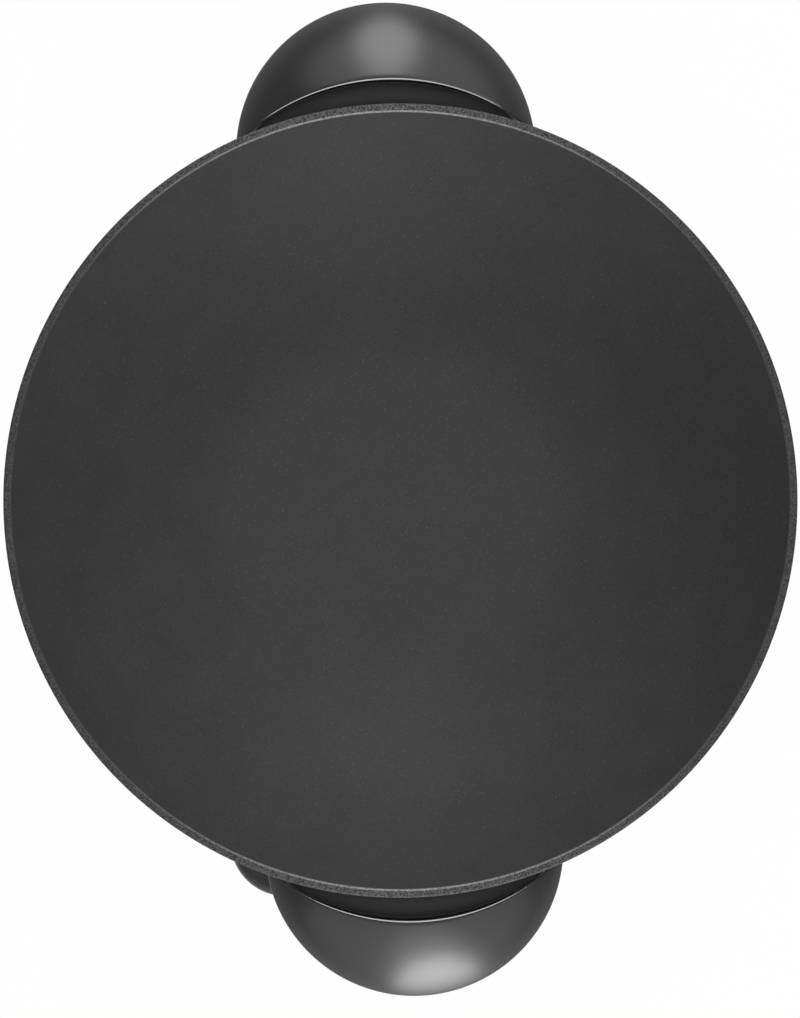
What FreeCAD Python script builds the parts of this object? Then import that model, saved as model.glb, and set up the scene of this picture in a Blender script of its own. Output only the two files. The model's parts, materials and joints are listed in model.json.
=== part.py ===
"""Countertop electric wok: a cast pan with its heating element and two handles, on a lift-off stand,
with a plug-in temperature control. Millimetres; +Z is up, the origin is on the table under the pan's
axis, and -Y is the front, where the control plugs in below the front handle."""

import FreeCAD
import Part
import Sketcher
import math
import os
from types import SimpleNamespace

V = FreeCAD.Vector

# Driving dimensions, in millimetres and degrees. Each is one cell of the sheet.
SIZES = {
    # cast pan
    "floor_height": 62.0,  # table to the cooking floor
    "pan_depth": 93.0,
    "pan_mouth_r": 178.45,  # inside the rim
    "pan_wall": 4.0,  # square to the wall
    "pan_floor_r": 58.0,  # flat cooking floor
    "knee_r": 70.0,  # curve between floor and side
    "knee_angle": 30.0,  # slope where the knee ends
    "floor_thick": 5.2,
    "floor_disc_margin": 5.0,  # thickened disc beyond the flat floor
    "rim_inner_round": 0.9,
    "rim_outer_round": 1.3,
    "foot_ring_r": 109.5,  # middle of the cast ring that the pan stands on
    "foot_ring_wall": 5.0,
    "foot_ring_rise": 0.9,  # guard's top to the foot ring's lower face
    # element cast into the pan
    "element_ring_r": 75.0,
    "element_tube_r": 4.0,
    "element_cast_gap": 0.1,
    "element_drop": 8.5,  # cooking floor to the element's axis
    "element_cover": 2.8,  # casting under the tube
    "element_side_cover": 3.5,
    "ridge_taper": 2.5,
    "element_bend_r": 12.0,
    "pin_pitch": 23.0,
    "pin_r": 2.4,
    "pin_length": 20.0,
    "insulator_r": 5.0,
    "insulator_length": 5.0,
    # socket boss and guard, turned away from the front handle's middle
    "socket_azimuth": 20.7,
    "boss_reach": 104.0,  # pan axis to the boss's face
    "boss_margin": 1.4,  # boss beyond the guard's side
    "boss_length": 22.0,
    "bore_depth": 54.0,
    "bore_rib_half": 8.0,
    "guard_half_width": 25.0,  # inside
    "guard_half_height": 10.0,  # inside
    "guard_wall": 1.6,
    "guard_past_pins": 4.0,
    "guard_corner_r": 6.0,
    "guard_screw_in": 4.5,  # guard's inner side to its screws
    "guard_screw_r": 1.5,
    "guard_screw_length": 9.0,
    # handles
    "handle_set": 16.05,  # inside of the rim back to the middle of the handle's disc
    "handle_r": 69.9,
    "handle_crown_drop": 8.0,  # rim to the top edge of the recess wall
    "dome_fall": 24.044,  # top of the recess wall down to where the dome would meet the disc's side
    "recess_out": 31.7,  # disc's middle to the recess wall
    "recess_r": 111.6,
    "recess_drop": 28.5,  # rim to the recess floor
    "recess_cove": 7.0,
    "recess_edge_round": 0.7,
    "cover_edge_round": 2.4,
    "handle_wall": 2.6,
    "handle_part_drop": 36.0,  # rim to the line where shell and grip meet
    "handle_depth": 53.5,  # rim to the grip's underside
    "handle_pan_gap": 2.0,
    "grip_slope_run": 8.0,
    "grip_groove_half": 6.0,
    "grip_groove_in": 10.0,  # lip back to the groove's top
    "grip_groove_rise": 13.0,  # flat underside to the top of the groove
    "grip_groove_round": 3.0,
    "grip_lip_width": 5.9,
    "grip_lip_rise": 8.5,
    "grip_lip_slope": 3.0,
    "grip_lip_lift": 1.0,
    "lug_in": 39.9,  # handle's side back to the lug's
    "lug_thick": 8.0,
    "lug_drop": 39.0,  # rim to the lug's top
    "lug_margin": 9.0,  # lug beyond its bolts
    "lug_corner": 10.0,
    "lug_bolt_in_x": 10.0,  # lug's side back to the bolts
    "lug_bolt_in": 17.1,  # recess wall back to the bolts
    "lug_bolt_r": 2.4,
    "lug_bolt_length": 14.0,
    "grip_screw_x": 12.0,
    "grip_screw_out": 4.4,  # recess wall out to the grip's screws
    "grip_screw_r": 1.5,
    "grip_screw_length": 14.0,
    "grip_seat_rise": 4.5,  # grip's underside to the seats of the cover's columns
    "column_r": 4.0,
    "frame_boss_r": 6.0,
    # stand
    "pad_thick": 2.0,
    "skirt_out": 8.5,  # foot ring's middle to the skirt's lower edge
    "skirt_flare": 6.0,
    "skirt_hollow": 4.2,  # how far the skirt curves in between its edges
    "skirt_wall": 3.0,
    "skirt_pan_gap": 2.5,
    "skirt_lift": 6.0,  # table to the skirt's lower edge
    "skirt_edge_round": 1.2,
    "shelf_in": 7.5,  # foot ring's middle to the shelf's inner edge
    "shelf_thick": 3.5,
    "arch_half": 58.0,
    "arch_height": 12.0,
    "arch_round": 9.0,
    "vent_low_gap": 7.0,  # foot boss's top to the slots
    "vent_high_gap": 8.5,  # slots to the shelf's underside
    "vent_half": 2.0,
    "vent_count": 35,
    "vent_free_angle": 24.0,  # from the notch's middle to the first slot
    "notch_side_gap": 7.0,
    "notch_round": 6.0,
    "notch_gap": 5.0,  # under the guard
    "foot_boss_in": 14.0,
    "foot_boss_r": 11.5,
    "foot_r": 9.5,
    "foot_rim": 3.0,  # rubber rim round the hollow of the foot
    "foot_hollow": 1.0,
    "foot_height": 7.0,
    "foot_stem_r": 3.0,
    "foot_stem_length": 8.0,
    "shield_drop": 20.0,  # socket boss's underside to the foot bosses' tops
    "shield_edge_gap": 6.0,  # shield to the skirt's inside
    "shield_dish": 6.0,
    "shield_thick": 1.0,
    "shield_screw_in": 6.5,
    "shield_screw_r": 1.5,
    "shield_screw_length": 9.0,
    # temperature control
    "control_gap": 6.0,  # guard's end to the housing
    "dial_in": 37.9,  # housing's inner end to the dial's axis
    "dial_r": 26.6,
    "dial_headroom": 9.7,  # dial's rim to the front handle's underside
    "dial_round": 5.0,
    "dial_crown": 1.2,  # rise of the cap's middle
    "dial_foot_in": 4.0,
    "dial_foot_rise": 1.5,
    "dial_edge": 1.0,  # chamfer over the foot
    "dial_cap": 9.0,  # dial's top to the end of the spindle's bore
    "dial_gap": 0.8,
    "dial_flutes": 40,
    "flute_r": 1.3,
    "flute_depth": 0.5,
    "housing_inset": 0.6,  # dial's side back to the housing's
    "housing_corner": 3.0,
    "housing_round": 2.2,
    "control_rise": 16.5,  # element's axis to the housing's top
    "control_fall": 16.0,  # element's axis to the housing's underside
    "control_wall": 2.2,
    "post_r": 3.4,
    "post_bore_r": 1.7,
    "post_thread_r": 1.4,
    "post_x": 18.2,
    "post_in": 18.0,
    "tail_post_x": 14.5,
    "tail_post_out": 12.1,  # dial's axis out to the tail posts
    "control_screw_length": 20.0,
    "nose_side_gap": 2.0,
    "nose_height_gap": 1.5,
    "nose_gap": 7.5,  # boss's face to the nose's tip
    "nose_tail": 14.0,  # nose inside the housing
    "nose_corner": 3.5,
    "pin_gap": 0.25,
    "contact_wall": 0.95,
    "contact_length": 18.0,
    "fit_gap": 0.15,
    "thread_gap": 0.1,
    "rod_r": 2.6,
    "rod_tip_gap": 2.0,  # left in the bore past the rod's tip
    "spindle_r": 3.0,
    "bracket_half": 9.0,
    "bracket_fall": 6.0,
    "bracket_thick": 1.2,
    "bracket_past_dial": 10.1,
    "stack_height": 4.0,
    "stack_out": 8.5,  # nose's end to the stack of washers
    "leaf_thick": 0.4,
    "leaf_half": 3.0,
    "leaf_step": 1.6,
    "leaf_start": 4.0,  # nose's end to the leaf
    "leaf_bend": 8.0,  # dial's axis back to the leaf's bend
    "leaf_past": 5.0,
    "gland_in": 23.0,
    "gland_bore_r": 4.0,
    "gland_wall": 3.0,
    "gland_length": 16.0,
    "gland_flange": 1.7,
    "gland_flange_out": 1.2,
    "gland_collar": 3.0,
    "gland_collar_out": 0.6,
    "gland_end_wall": 1.8,
    "lens_r": 3.5,
    "lens_x": 14.0,
    "lens_in": 7.5,
    "lens_flange": 1.2,
    "lens_flange_out": 1.0,
    "lens_crown": 1.2,
    "trigger_in": 4.0,  # housing's inner end to the release lever's pin
    "trigger_hang": 7.5,  # housing's underside to the pin
    "trigger_half": 8.5,
    "trigger_past_dial": 18.1,
    "trigger_pin_r": 1.5,
    "trigger_ear": 2.4,
    "lever_thick": 2.6,
    "lever_knee": 5.0,  # pin back to where the lever's arm starts
    "lever_barrel": 3.3,  # pin's axis to the outside of the lever round it
    "lever_hook_in": 7.0,  # pin to the hook's tip
    "lever_hook_rise": 3.5,  # housing's underside to the hook's top
    "lever_hook_thick": 2.5,
    "lever_hook_height": 5.0,
    "lever_lip": 5.0,  # turned-down end
    "lever_lip_drop": 2.7,
    "lever_groove": 1.0,
    "lever_groove_pitch": 3.0,
    "lever_groove_start": 12.0,
    "lever_groove_depth": 0.6,
    "lever_groove_end": 4.0,  # lever's side to the grooves
    "spring_root": 16.0,  # pin to the leaf spring's fixed end
    "spring_flat": 8.0,
    "spring_bend": 3.0,
    "spring_arm": 13.0,
    "spring_foot": 3.0,
}

doc = FreeCAD.newDocument("electric_wok")
sheet = doc.addObject("Spreadsheet::Sheet", "Sizes")
derived = doc.addObject("App::VarSet", "Derived")
pieces = []


class Size:
    """A length or an angle: its value now, and the expression that ties a feature to the sheet."""

    def __init__(self, value, text):
        self.value = value
        self.text = text

    @staticmethod
    def of(item):
        return item if isinstance(item, Size) else Size(float(item), repr(float(item)))

    def _join(self, other, sign, value):
        return Size(value, f"({self.text} {sign} {other.text})")

    def __add__(self, other):
        other = Size.of(other)
        return self._join(other, "+", self.value + other.value)

    def __sub__(self, other):
        other = Size.of(other)
        return self._join(other, "-", self.value - other.value)

    def __mul__(self, other):
        other = Size.of(other)
        return self._join(other, "*", self.value * other.value)

    def __truediv__(self, other):
        other = Size.of(other)
        return self._join(other, "/", self.value / other.value)

    def __radd__(self, other):
        return Size.of(other) + self

    def __rsub__(self, other):
        return Size.of(other) - self

    def __rmul__(self, other):
        return Size.of(other) * self

    def __neg__(self):
        return Size(-self.value, f"(-{self.text})")

    def squared(self):
        return self * self

    def root(self):
        return Size(math.sqrt(self.value), f"sqrt({self.text})")

    def sine(self):
        return Size(math.sin(math.radians(self.value)), f"sin({self.text})")

    def cosine(self):
        return Size(math.cos(math.radians(self.value)), f"cos({self.text})")


def derive(name, size):
    """Keeps a worked-out size under a name of its own, so that expressions stay short."""
    derived.addProperty("App::PropertyFloat", name)
    derived.setExpression(name, size.text)
    return Size(size.value, f"Derived.{name}")


for row, (alias, number) in enumerate(SIZES.items(), 1):
    sheet.set(f"A{row}", alias)
    sheet.set(f"B{row}", str(number))
    sheet.setAlias(f"B{row}", alias)
doc.recompute()
S = SimpleNamespace(**{alias: Size(float(number), f"Sizes.{alias}") for alias, number in SIZES.items()})


# ---------------------------------------------------------------- features


def bind(thing, path, size):
    thing.setExpression(path, Size.of(size).text)


def new_body(name, turn=0, x=0, y=0, z=0):
    """A body turned about the vertical axis, with its origin at x, y, z."""
    body = doc.addObject("PartDesign::Body", name)
    body.Placement = FreeCAD.Placement(V(), FreeCAD.Rotation(V(0, 0, 1), Size.of(turn).value))
    bind(body, "Placement.Rotation.Angle", turn)
    for axis, place in zip("xyz", (x, y, z)):
        bind(body, f"Placement.Base.{axis}", place)
    return body


def new_sketch(body, plane, lift=0, turn=0, x=0, y=0):
    """A sketch on one of the body's own planes, shifted in it by x, y, moved along its normal by the
    lift and then turned about the vertical axis."""
    sketch = body.newObject("Sketcher::SketchObject", "Sketch")
    origin_plane = [f for f in body.Origin.OriginFeatures if f.Role == f"{plane}_Plane"][0]
    sketch.AttachmentSupport = [(origin_plane, "")]
    sketch.MapMode = "FlatFace"
    lift, turn, x, y = (Size.of(size) for size in (lift, turn, x, y))
    flat = plane == "XY"
    spin = FreeCAD.Rotation(V(0, 0, 1) if flat else V(0, 1, 0), turn.value)
    sketch.AttachmentOffset = FreeCAD.Placement(V(), spin)
    place = (x, y, lift)
    if turn.value:
        bind(sketch, "AttachmentOffset.Rotation.Angle", turn)
        cos, sin = turn.cosine(), turn.sine()
        if flat:
            place = (x * cos - y * sin, x * sin + y * cos, lift)
        else:
            place = (x * cos + lift * sin, y, lift * cos - x * sin)
    for axis, size in zip("xyz", place):
        bind(sketch, f"AttachmentOffset.Base.{axis}", size)
    return sketch


def pin_point(sketch, geometry, end, x, y):
    for kind, place in (("DistanceX", x), ("DistanceY", y)):
        datum = Sketcher.Constraint(kind, -1, 1, geometry, end, Size.of(place).value)
        bind(sketch, f"Constraints[{sketch.addConstraint(datum)}]", place)


def draw(sketch, corners, closed=True):
    """Lines and arcs through the corners. A corner is (x, y), or (x, y, r) where an arc of radius r
    leads to the next corner, turning left if r is plus and right if it is minus."""
    count = len(corners)
    edges = []
    for i in range(count if closed else count - 1):
        x0, y0 = (Size.of(c).value for c in corners[i][:2])
        x1, y1 = (Size.of(c).value for c in corners[(i + 1) % count][:2])
        if len(corners[i]) == 2:
            line = Part.LineSegment(V(x0, y0, 0), V(x1, y1, 0))
            edges.append((sketch.addGeometry(line, False), 1, 2))
            continue
        bend = Size.of(corners[i][2]).value
        chord = math.hypot(x1 - x0, y1 - y0)
        rise = math.copysign(math.sqrt(max(bend * bend - chord * chord / 4, 0)), bend) / chord
        centre = V((x0 + x1) / 2 - (y1 - y0) * rise, (y0 + y1) / 2 + (x1 - x0) * rise, 0)
        ends = [math.atan2(y - centre.y, x - centre.x) for x, y in ((x0, y0), (x1, y1))]
        first, last = (1, 2) if bend > 0 else (2, 1)
        if bend < 0:
            ends.reverse()
        circle = Part.Circle(centre, V(0, 0, 1), abs(bend))
        arc = sketch.addGeometry(Part.ArcOfCircle(circle, *ends), False)
        edges.append((arc, first, last))
    for i, (edge, first, last) in enumerate(edges):
        pin_point(sketch, edge, first, *corners[i][:2])
        if i + 1 < len(edges) or closed:
            following = edges[(i + 1) % len(edges)]
            sketch.addConstraint(Sketcher.Constraint("Coincident", edge, last, *following[:2]))
        else:
            pin_point(sketch, edge, last, *corners[-1][:2])
        if len(corners[i]) == 3:
            r = corners[i][2] if Size.of(corners[i][2]).value > 0 else -corners[i][2]
            datum = Sketcher.Constraint("Radius", edge, Size.of(r).value)
            bind(sketch, f"Constraints[{sketch.addConstraint(datum)}]", r)
    return sketch


def draw_circle(sketch, x, y, r):
    centre = V(Size.of(x).value, Size.of(y).value, 0)
    circle = sketch.addGeometry(Part.Circle(centre, V(0, 0, 1), Size.of(r).value), False)
    pin_point(sketch, circle, 3, x, y)
    datum = Sketcher.Constraint("Radius", circle, Size.of(r).value)
    bind(sketch, f"Constraints[{sketch.addConstraint(datum)}]", r)
    return sketch


def draw_rounded_box(sketch, x, y, half_x, half_y, r):
    """A rectangle about x, y with its corners rounded."""
    left, right, low, high = x - half_x, x + half_x, y - half_y, y + half_y
    return draw(
        sketch,
        [
            (left + r, low),
            (right - r, low, r),
            (right, low + r),
            (right, high - r, r),
            (right - r, high),
            (left + r, high, r),
            (left, high - r),
            (left, low + r, r),
        ],
    )


def feature(body, kind, sketch, length=None, **settings):
    """A sketch-based feature: Pad, Pocket, Revolution or Groove."""
    made = body.newObject(f"PartDesign::{kind}", kind)
    made.Profile = sketch
    if kind in ("Revolution", "Groove"):
        made.ReferenceAxis = (sketch, [settings.pop("axis", "V_Axis")])
        made.Angle = 360
    if length is not None:
        bind(made, "Length", length)
    for setting, value in settings.items():
        setattr(made, setting, value)
    sketch.Visibility = False
    return made


def pattern(body, original, count):
    """Copies a feature round the body's vertical axis."""
    made = body.newObject("PartDesign::PolarPattern", "PolarPattern")
    made.Originals = [original]
    made.Axis = ([f for f in body.Origin.OriginFeatures if f.Role == "Z_Axis"][0], [""])
    made.Angle = 360
    bind(made, "Occurrences", count)
    body.Tip = made
    return made


def mirror(body, originals):
    """Copies features to the other side of the body's YZ plane."""
    made = body.newObject("PartDesign::Mirrored", "Mirrored")
    made.Originals = originals
    made.MirrorPlane = ([f for f in body.Origin.OriginFeatures if f.Role == "YZ_Plane"][0], [""])
    body.Tip = made
    return made


def pipe(body, kind, path, profile):
    made = body.newObject(f"PartDesign::{kind}Pipe", f"{kind}Pipe")
    made.Profile = profile
    made.Spine = path
    return made


def round_edges(body, radius, wanted, kind="Fillet"):
    """Rounds or chamfers the edges of the body's last feature that the test picks."""
    doc.recompute()
    last = body.Tip
    names = [f"Edge{i}" for i, edge in enumerate(last.Shape.Edges, 1) if wanted(edge)]
    if not names:
        raise RuntimeError(f"{body.Label}: no edge to round")
    made = body.newObject(f"PartDesign::{kind}", kind)
    made.Base = (last, names)
    bind(made, "Radius" if kind == "Fillet" else "Size", radius)
    return made


def at_height(edge, z):
    box = edge.BoundBox
    return abs(box.ZMin - z) < 0.01 and abs(box.ZMax - z) < 0.01


def at_reach(edge, reach):
    """Whether an edge lies square to Y, that far toward the front."""
    box = edge.BoundBox
    return abs(box.YMin + reach.value) < 0.01 and box.YLength < 0.01


def upright(edge):
    return edge.BoundBox.XLength < 0.01 and edge.BoundBox.ZLength > 1


def solid(kind, name, sizes, x=0, y=0, z=0, rotation=None):
    """A Part primitive with its sizes and place tied to the sheet."""
    made = doc.addObject(f"Part::{kind}", name)
    made.Placement = FreeCAD.Placement(V(), rotation or FreeCAD.Rotation())
    for path, size in sizes.items():
        bind(made, path, size)
    for axis, place in zip("xyz", (x, y, z)):
        bind(made, f"Placement.Base.{axis}", place)
    return made


def cylinder(name, r, height, x=0, y=0, z=0, rotation=None):
    return solid("Cylinder", name, {"Radius": r, "Height": height}, x, y, z, rotation)


def fuse(name, shapes):
    made = doc.addObject("Part::MultiFuse", name)
    made.Shapes = shapes
    return made


def cut(name, base, tools):
    made = doc.addObject("Part::Cut", name)
    made.Base = base
    made.Tool = tools[0] if len(tools) == 1 else fuse(f"{name}_tools", tools)
    return made


def common(name, base, tool):
    made = doc.addObject("Part::Common", name)
    made.Base = base
    made.Tool = tool
    return made


def keep(thing, node):
    """Names a finished piece; the name is its file's."""
    thing.Label = node
    pieces.append(thing)
    return thing


# ---------------------------------------------------------------- shared places

floor_z = S.floor_height
rim_z = derive("rim_z", floor_z + S.pan_depth)
element_z = derive("element_z", floor_z - S.element_drop)
ridge_z = derive("ridge_z", element_z - S.element_tube_r - S.element_cover)
ridge_half = derive("ridge_half", S.element_tube_r + S.element_side_cover)
boss_half = derive("boss_half", S.guard_half_width + S.guard_wall + S.boss_margin)
boss_z = derive("boss_z", element_z - S.guard_half_height - S.guard_wall)
seat_z = derive("seat_z", element_z + S.guard_half_height + S.guard_wall + S.foot_ring_rise)
guard_length = derive("guard_length", S.pin_length + S.guard_past_pins)
guard_screw_x = derive("guard_screw_x", S.guard_half_width - S.guard_screw_in)
pin_x = derive("pin_x", S.pin_pitch / 2)
socket_turn = derive("socket_turn", -S.socket_azimuth)
bend_reach = S.element_ring_r + S.element_bend_r
bend_y = derive("bend_y", (bend_reach.squared() - (pin_x + S.element_bend_r).squared()).root())

# The side of the pan is an arc that leaves the knee without a corner and ends at the rim.
knee_end_r = derive("knee_end_r", S.pan_floor_r + S.knee_r * S.knee_angle.sine())
knee_end_z = derive("knee_end_z", floor_z + S.knee_r * (1 - S.knee_angle.cosine()))
side_run = derive("side_run", S.pan_mouth_r - knee_end_r)
side_rise = derive("side_rise", rim_z - knee_end_z)
side_r = derive(
    "side_r",
    (side_run.squared() + side_rise.squared())
    / (2 * (side_rise * S.knee_angle.cosine() - side_run * S.knee_angle.sine())),
)
side_x = derive("side_x", knee_end_r - side_r * S.knee_angle.sine())
side_z = derive("side_z", knee_end_z + side_r * S.knee_angle.cosine())
outer_side_r = derive("outer_side_r", side_r + S.pan_wall)


def pan_outside_r(z):
    """Radius of the pan's outer face at a height on its side."""
    return side_x + (outer_side_r.squared() - (side_z - z).squared()).root()


def pan_outside_z(r):
    """Height of the pan's outer face at a radius on its side."""
    return side_z - (outer_side_r.squared() - (r - side_x).squared()).root()


# The handles hang on the rim, and what is in them follows the recess wall.
handle_reach = derive("handle_reach", S.pan_mouth_r - S.handle_set)
recess_reach = derive("recess_reach", handle_reach + S.recess_out)
dome_run2 = S.handle_r.squared() - S.recess_out.squared()
crown_over_ball = derive("crown_over_ball", (dome_run2 + S.dome_fall.squared()) / (2 * S.dome_fall))
dome_r = derive("dome_r", (crown_over_ball.squared() + S.recess_out.squared()).root())
recess_y = derive("recess_y", recess_reach - S.recess_r)
bolt_reach = derive("bolt_reach", recess_reach - S.lug_bolt_in)
lug_reach = derive("lug_reach", bolt_reach + S.lug_margin)
lug_half = derive("lug_half", S.handle_r - S.lug_in)
lug_bolt_x = derive("lug_bolt_x", lug_half - S.lug_bolt_in_x)
screw_reach = derive("screw_reach", recess_reach + S.grip_screw_out)
crown_z = derive("crown_z", rim_z - S.handle_crown_drop)
dome_z = derive("dome_z", crown_z - crown_over_ball)
part_z = derive("part_z", rim_z - S.handle_part_drop)
recess_z = derive("recess_z", rim_z - S.recess_drop)
under_z = derive("under_z", rim_z - S.handle_depth)
grip_seat_z = derive("grip_seat_z", under_z + S.grip_seat_rise)
lug_z = derive("lug_z", rim_z - S.lug_drop)


# ---------------------------------------------------------------- pan and element


def draw_element(body, kind, r, turn=0):
    """The tube along its line: a leg, an outward bend, the ring, and the same back."""
    sketch = new_sketch(body, "XY", element_z, turn)
    ring, bend = S.element_ring_r, S.element_bend_r
    share = ring / (ring + bend)
    meet_x = (pin_x + bend) * share
    meet_y = bend_y * share
    draw(
        sketch,
        [
            (-pin_x, -S.boss_reach),
            (-pin_x, -bend_y, bend),
            (-meet_x, -meet_y, -ring),
            (-ring, 0, -ring),
            (0, ring, -ring),
            (ring, 0, -ring),
            (meet_x, -meet_y, bend),
            (pin_x, -bend_y),
            (pin_x, -S.boss_reach),
        ],
        closed=False,
    )
    section = draw_circle(new_sketch(body, "XZ", S.boss_reach, turn), -pin_x, element_z, r)
    return pipe(body, kind, sketch, section)


def rim_round(r, arc_r, reach, bend):
    """The two ends of the rim's round: where it leaves the side's arc, and where it meets the top."""
    centre_z = rim_z - r
    centre_r = (reach.squared() - (side_z - centre_z).squared()).root()
    share = arc_r / reach
    start = (side_x + centre_r * share, side_z - (side_z - centre_z) * share, bend)
    return [start, (side_x + centre_r, rim_z)]


def make_pan():
    body = new_body("WokPan")
    top = rim_z
    knee_out_r = S.pan_floor_r + (S.knee_r + S.pan_wall) * S.knee_angle.sine()
    knee_out_z = floor_z + S.knee_r - (S.knee_r + S.pan_wall) * S.knee_angle.cosine()
    outside = draw(
        new_sketch(body, "XZ"),
        [
            (0, floor_z - S.pan_wall),
            (S.pan_floor_r, floor_z - S.pan_wall, S.knee_r + S.pan_wall),
            (knee_out_r, knee_out_z, outer_side_r),
            *rim_round(S.rim_outer_round, outer_side_r, outer_side_r - S.rim_outer_round, S.rim_outer_round),
            (0, top),
        ],
    )
    feature(body, "Revolution", outside)
    disc_r = S.pan_floor_r + S.floor_disc_margin
    disc = draw_circle(new_sketch(body, "XY", floor_z - S.floor_thick), 0, 0, disc_r)
    feature(body, "Pad", disc, S.floor_thick)
    ring = S.element_ring_r
    ridge = draw(
        new_sketch(body, "XZ"),
        [
            (ring - ridge_half, ridge_z),
            (ring + ridge_half, ridge_z),
            (ring + ridge_half + S.ridge_taper, floor_z + S.pan_wall),
            (ring - ridge_half - S.ridge_taper, floor_z + S.pan_wall),
        ],
    )
    feature(body, "Revolution", ridge)
    foot_in = S.foot_ring_r - S.foot_ring_wall / 2
    foot_out = S.foot_ring_r + S.foot_ring_wall / 2
    foot_top = pan_outside_z(foot_out) + S.pan_wall
    foot = draw(
        new_sketch(body, "XZ"),
        [(foot_in, seat_z), (foot_out, seat_z), (foot_out, foot_top), (foot_in, foot_top)],
    )
    feature(body, "Revolution", foot)
    boss_top = derive("boss_top", pan_outside_z(S.boss_reach + S.pan_wall) + S.pan_wall)
    inner = S.boss_reach - S.boss_length
    rib_end = S.boss_reach - S.bore_depth - S.bore_rib_half
    boss = draw(
        new_sketch(body, "XY", boss_z, socket_turn),
        [(-boss_half, -S.boss_reach), (boss_half, -S.boss_reach), (boss_half, -inner), (-boss_half, -inner)],
    )
    feature(body, "Pad", boss, boss_top - boss_z)
    rib = draw(
        new_sketch(body, "XY", ridge_z, socket_turn),
        [
            (-S.bore_rib_half, -S.boss_reach + 1),
            (S.bore_rib_half, -S.boss_reach + 1),
            (S.bore_rib_half, -rib_end),
            (-S.bore_rib_half, -rib_end),
        ],
    )
    feature(body, "Pad", rib, floor_z - ridge_z)
    lug_root = pan_outside_r(top - S.lug_drop) - 4 * S.pan_wall
    corner = S.lug_corner
    for side in (-1, 1):
        reach, half = side * lug_reach, lug_half
        shoulder = side * (lug_reach - corner)
        lug = draw(
            new_sketch(body, "XY", top - S.lug_drop - S.lug_thick),
            [
                (-half, side * lug_root),
                (-half, shoulder, side * -corner),
                (corner - half, reach),
                (half - corner, reach, side * -corner),
                (half, shoulder),
                (half, side * lug_root),
            ],
        )
        feature(body, "Pad", lug, S.lug_thick)
    inside = draw(
        new_sketch(body, "XZ"),
        [
            (0, floor_z),
            (S.pan_floor_r, floor_z, S.knee_r),
            (knee_end_r, knee_end_z, side_r),
            *rim_round(S.rim_inner_round, side_r, side_r + S.rim_inner_round, -S.rim_inner_round),
            (S.pan_mouth_r + S.rim_inner_round, top + 1),
            (0, top + 1),
        ],
    )
    feature(body, "Groove", inside)
    bolts = new_sketch(body, "XY", top - S.lug_drop)
    for side in (-1, 1):
        for across in (-1, 1):
            draw_circle(bolts, across * lug_bolt_x, side * bolt_reach, S.lug_bolt_r + S.fit_gap)
    feature(body, "Pocket", bolts, S.lug_thick)
    rod_bore = new_sketch(body, "XZ", S.boss_reach, socket_turn)
    draw_circle(rod_bore, 0, element_z, S.rod_r + S.fit_gap)
    feature(body, "Pocket", rod_bore, S.bore_depth)
    threads = new_sketch(body, "XZ", S.boss_reach, socket_turn)
    for across in (-1, 1):
        draw_circle(threads, across * guard_screw_x, element_z, S.guard_screw_r + S.thread_gap)
    feature(body, "Pocket", threads, S.boss_length / 2)
    draw_element(body, "Subtractive", S.element_tube_r + S.element_cast_gap, socket_turn)
    return keep(body, "wok_pan")


def make_element():
    body = new_body("HeatingElement", socket_turn)
    draw_element(body, "Additive", S.element_tube_r)
    return keep(body, "heating_element")


def make_round_pair(node, r, start, length, bore=None):
    """Two equal round pieces on the lines of the element's legs, from a reach outward."""
    body = new_body(node, socket_turn)
    sketch = new_sketch(body, "XZ", start)
    for across in (-1, 1):
        draw_circle(sketch, across * pin_x, element_z, r)
        if bore is not None:
            draw_circle(sketch, across * pin_x, element_z, bore)
    feature(body, "Pad", sketch, length)
    return keep(body, node)


def make_pins():
    body = make_round_pair("terminal_pins", S.pin_r, S.boss_reach, S.pin_length)
    tip = S.boss_reach + S.pin_length
    round_edges(body, S.pin_r / 3, lambda edge: at_reach(edge, tip), "Chamfer")


def make_guard():
    body = new_body("SocketGuard", socket_turn)
    end = S.boss_reach + guard_length
    wall, w, h, r = S.guard_wall, S.guard_half_width, S.guard_half_height, S.guard_corner_r
    outside = new_sketch(body, "XZ", S.boss_reach)
    draw_rounded_box(outside, Size.of(0), element_z, w + wall, h + wall, r + wall)
    feature(body, "Pad", outside, guard_length)
    inside = draw_rounded_box(new_sketch(body, "XZ", end), Size.of(0), element_z, w, h, r)
    feature(body, "Pocket", inside, guard_length - wall)
    holes = new_sketch(body, "XZ", S.boss_reach + wall)
    draw_circle(holes, 0, element_z, S.rod_r + 2 * S.fit_gap)
    for across in (-1, 1):
        draw_circle(holes, across * pin_x, element_z, S.insulator_r + S.fit_gap)
        draw_circle(holes, across * guard_screw_x, element_z, S.guard_screw_r + S.fit_gap)
    feature(body, "Pocket", holes, wall)
    return keep(body, "socket_guard")


# ---------------------------------------------------------------- screws


def draw_cross(sketch, x, y, half, width):
    """The outline of a cross recess."""
    steps = [(half, -width), (half, width), (width, width), (width, half)]
    steps += [(-width, half), (-width, width), (-half, width), (-half, -width)]
    steps += [(-width, -width), (-width, -half), (width, -half), (width, -width)]
    return draw(sketch, [(x + dx, y + dy) for dx, dy in steps])


def screw_profile(sketch, way, shank_r, length):
    """Half of a pan-headed screw seated at the sketch's origin, its head pointing along the way."""
    head_r, high = 1.9 * shank_r, 1.2 * shank_r
    round_r = high / 2
    outline = [(0, way * -length), (shank_r, way * -length), (shank_r, 0), (head_r, 0)]
    outline += [(head_r, way * (high - round_r)), (head_r - round_r, way * high), (0, way * high)]
    return draw(sketch, outline)


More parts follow.
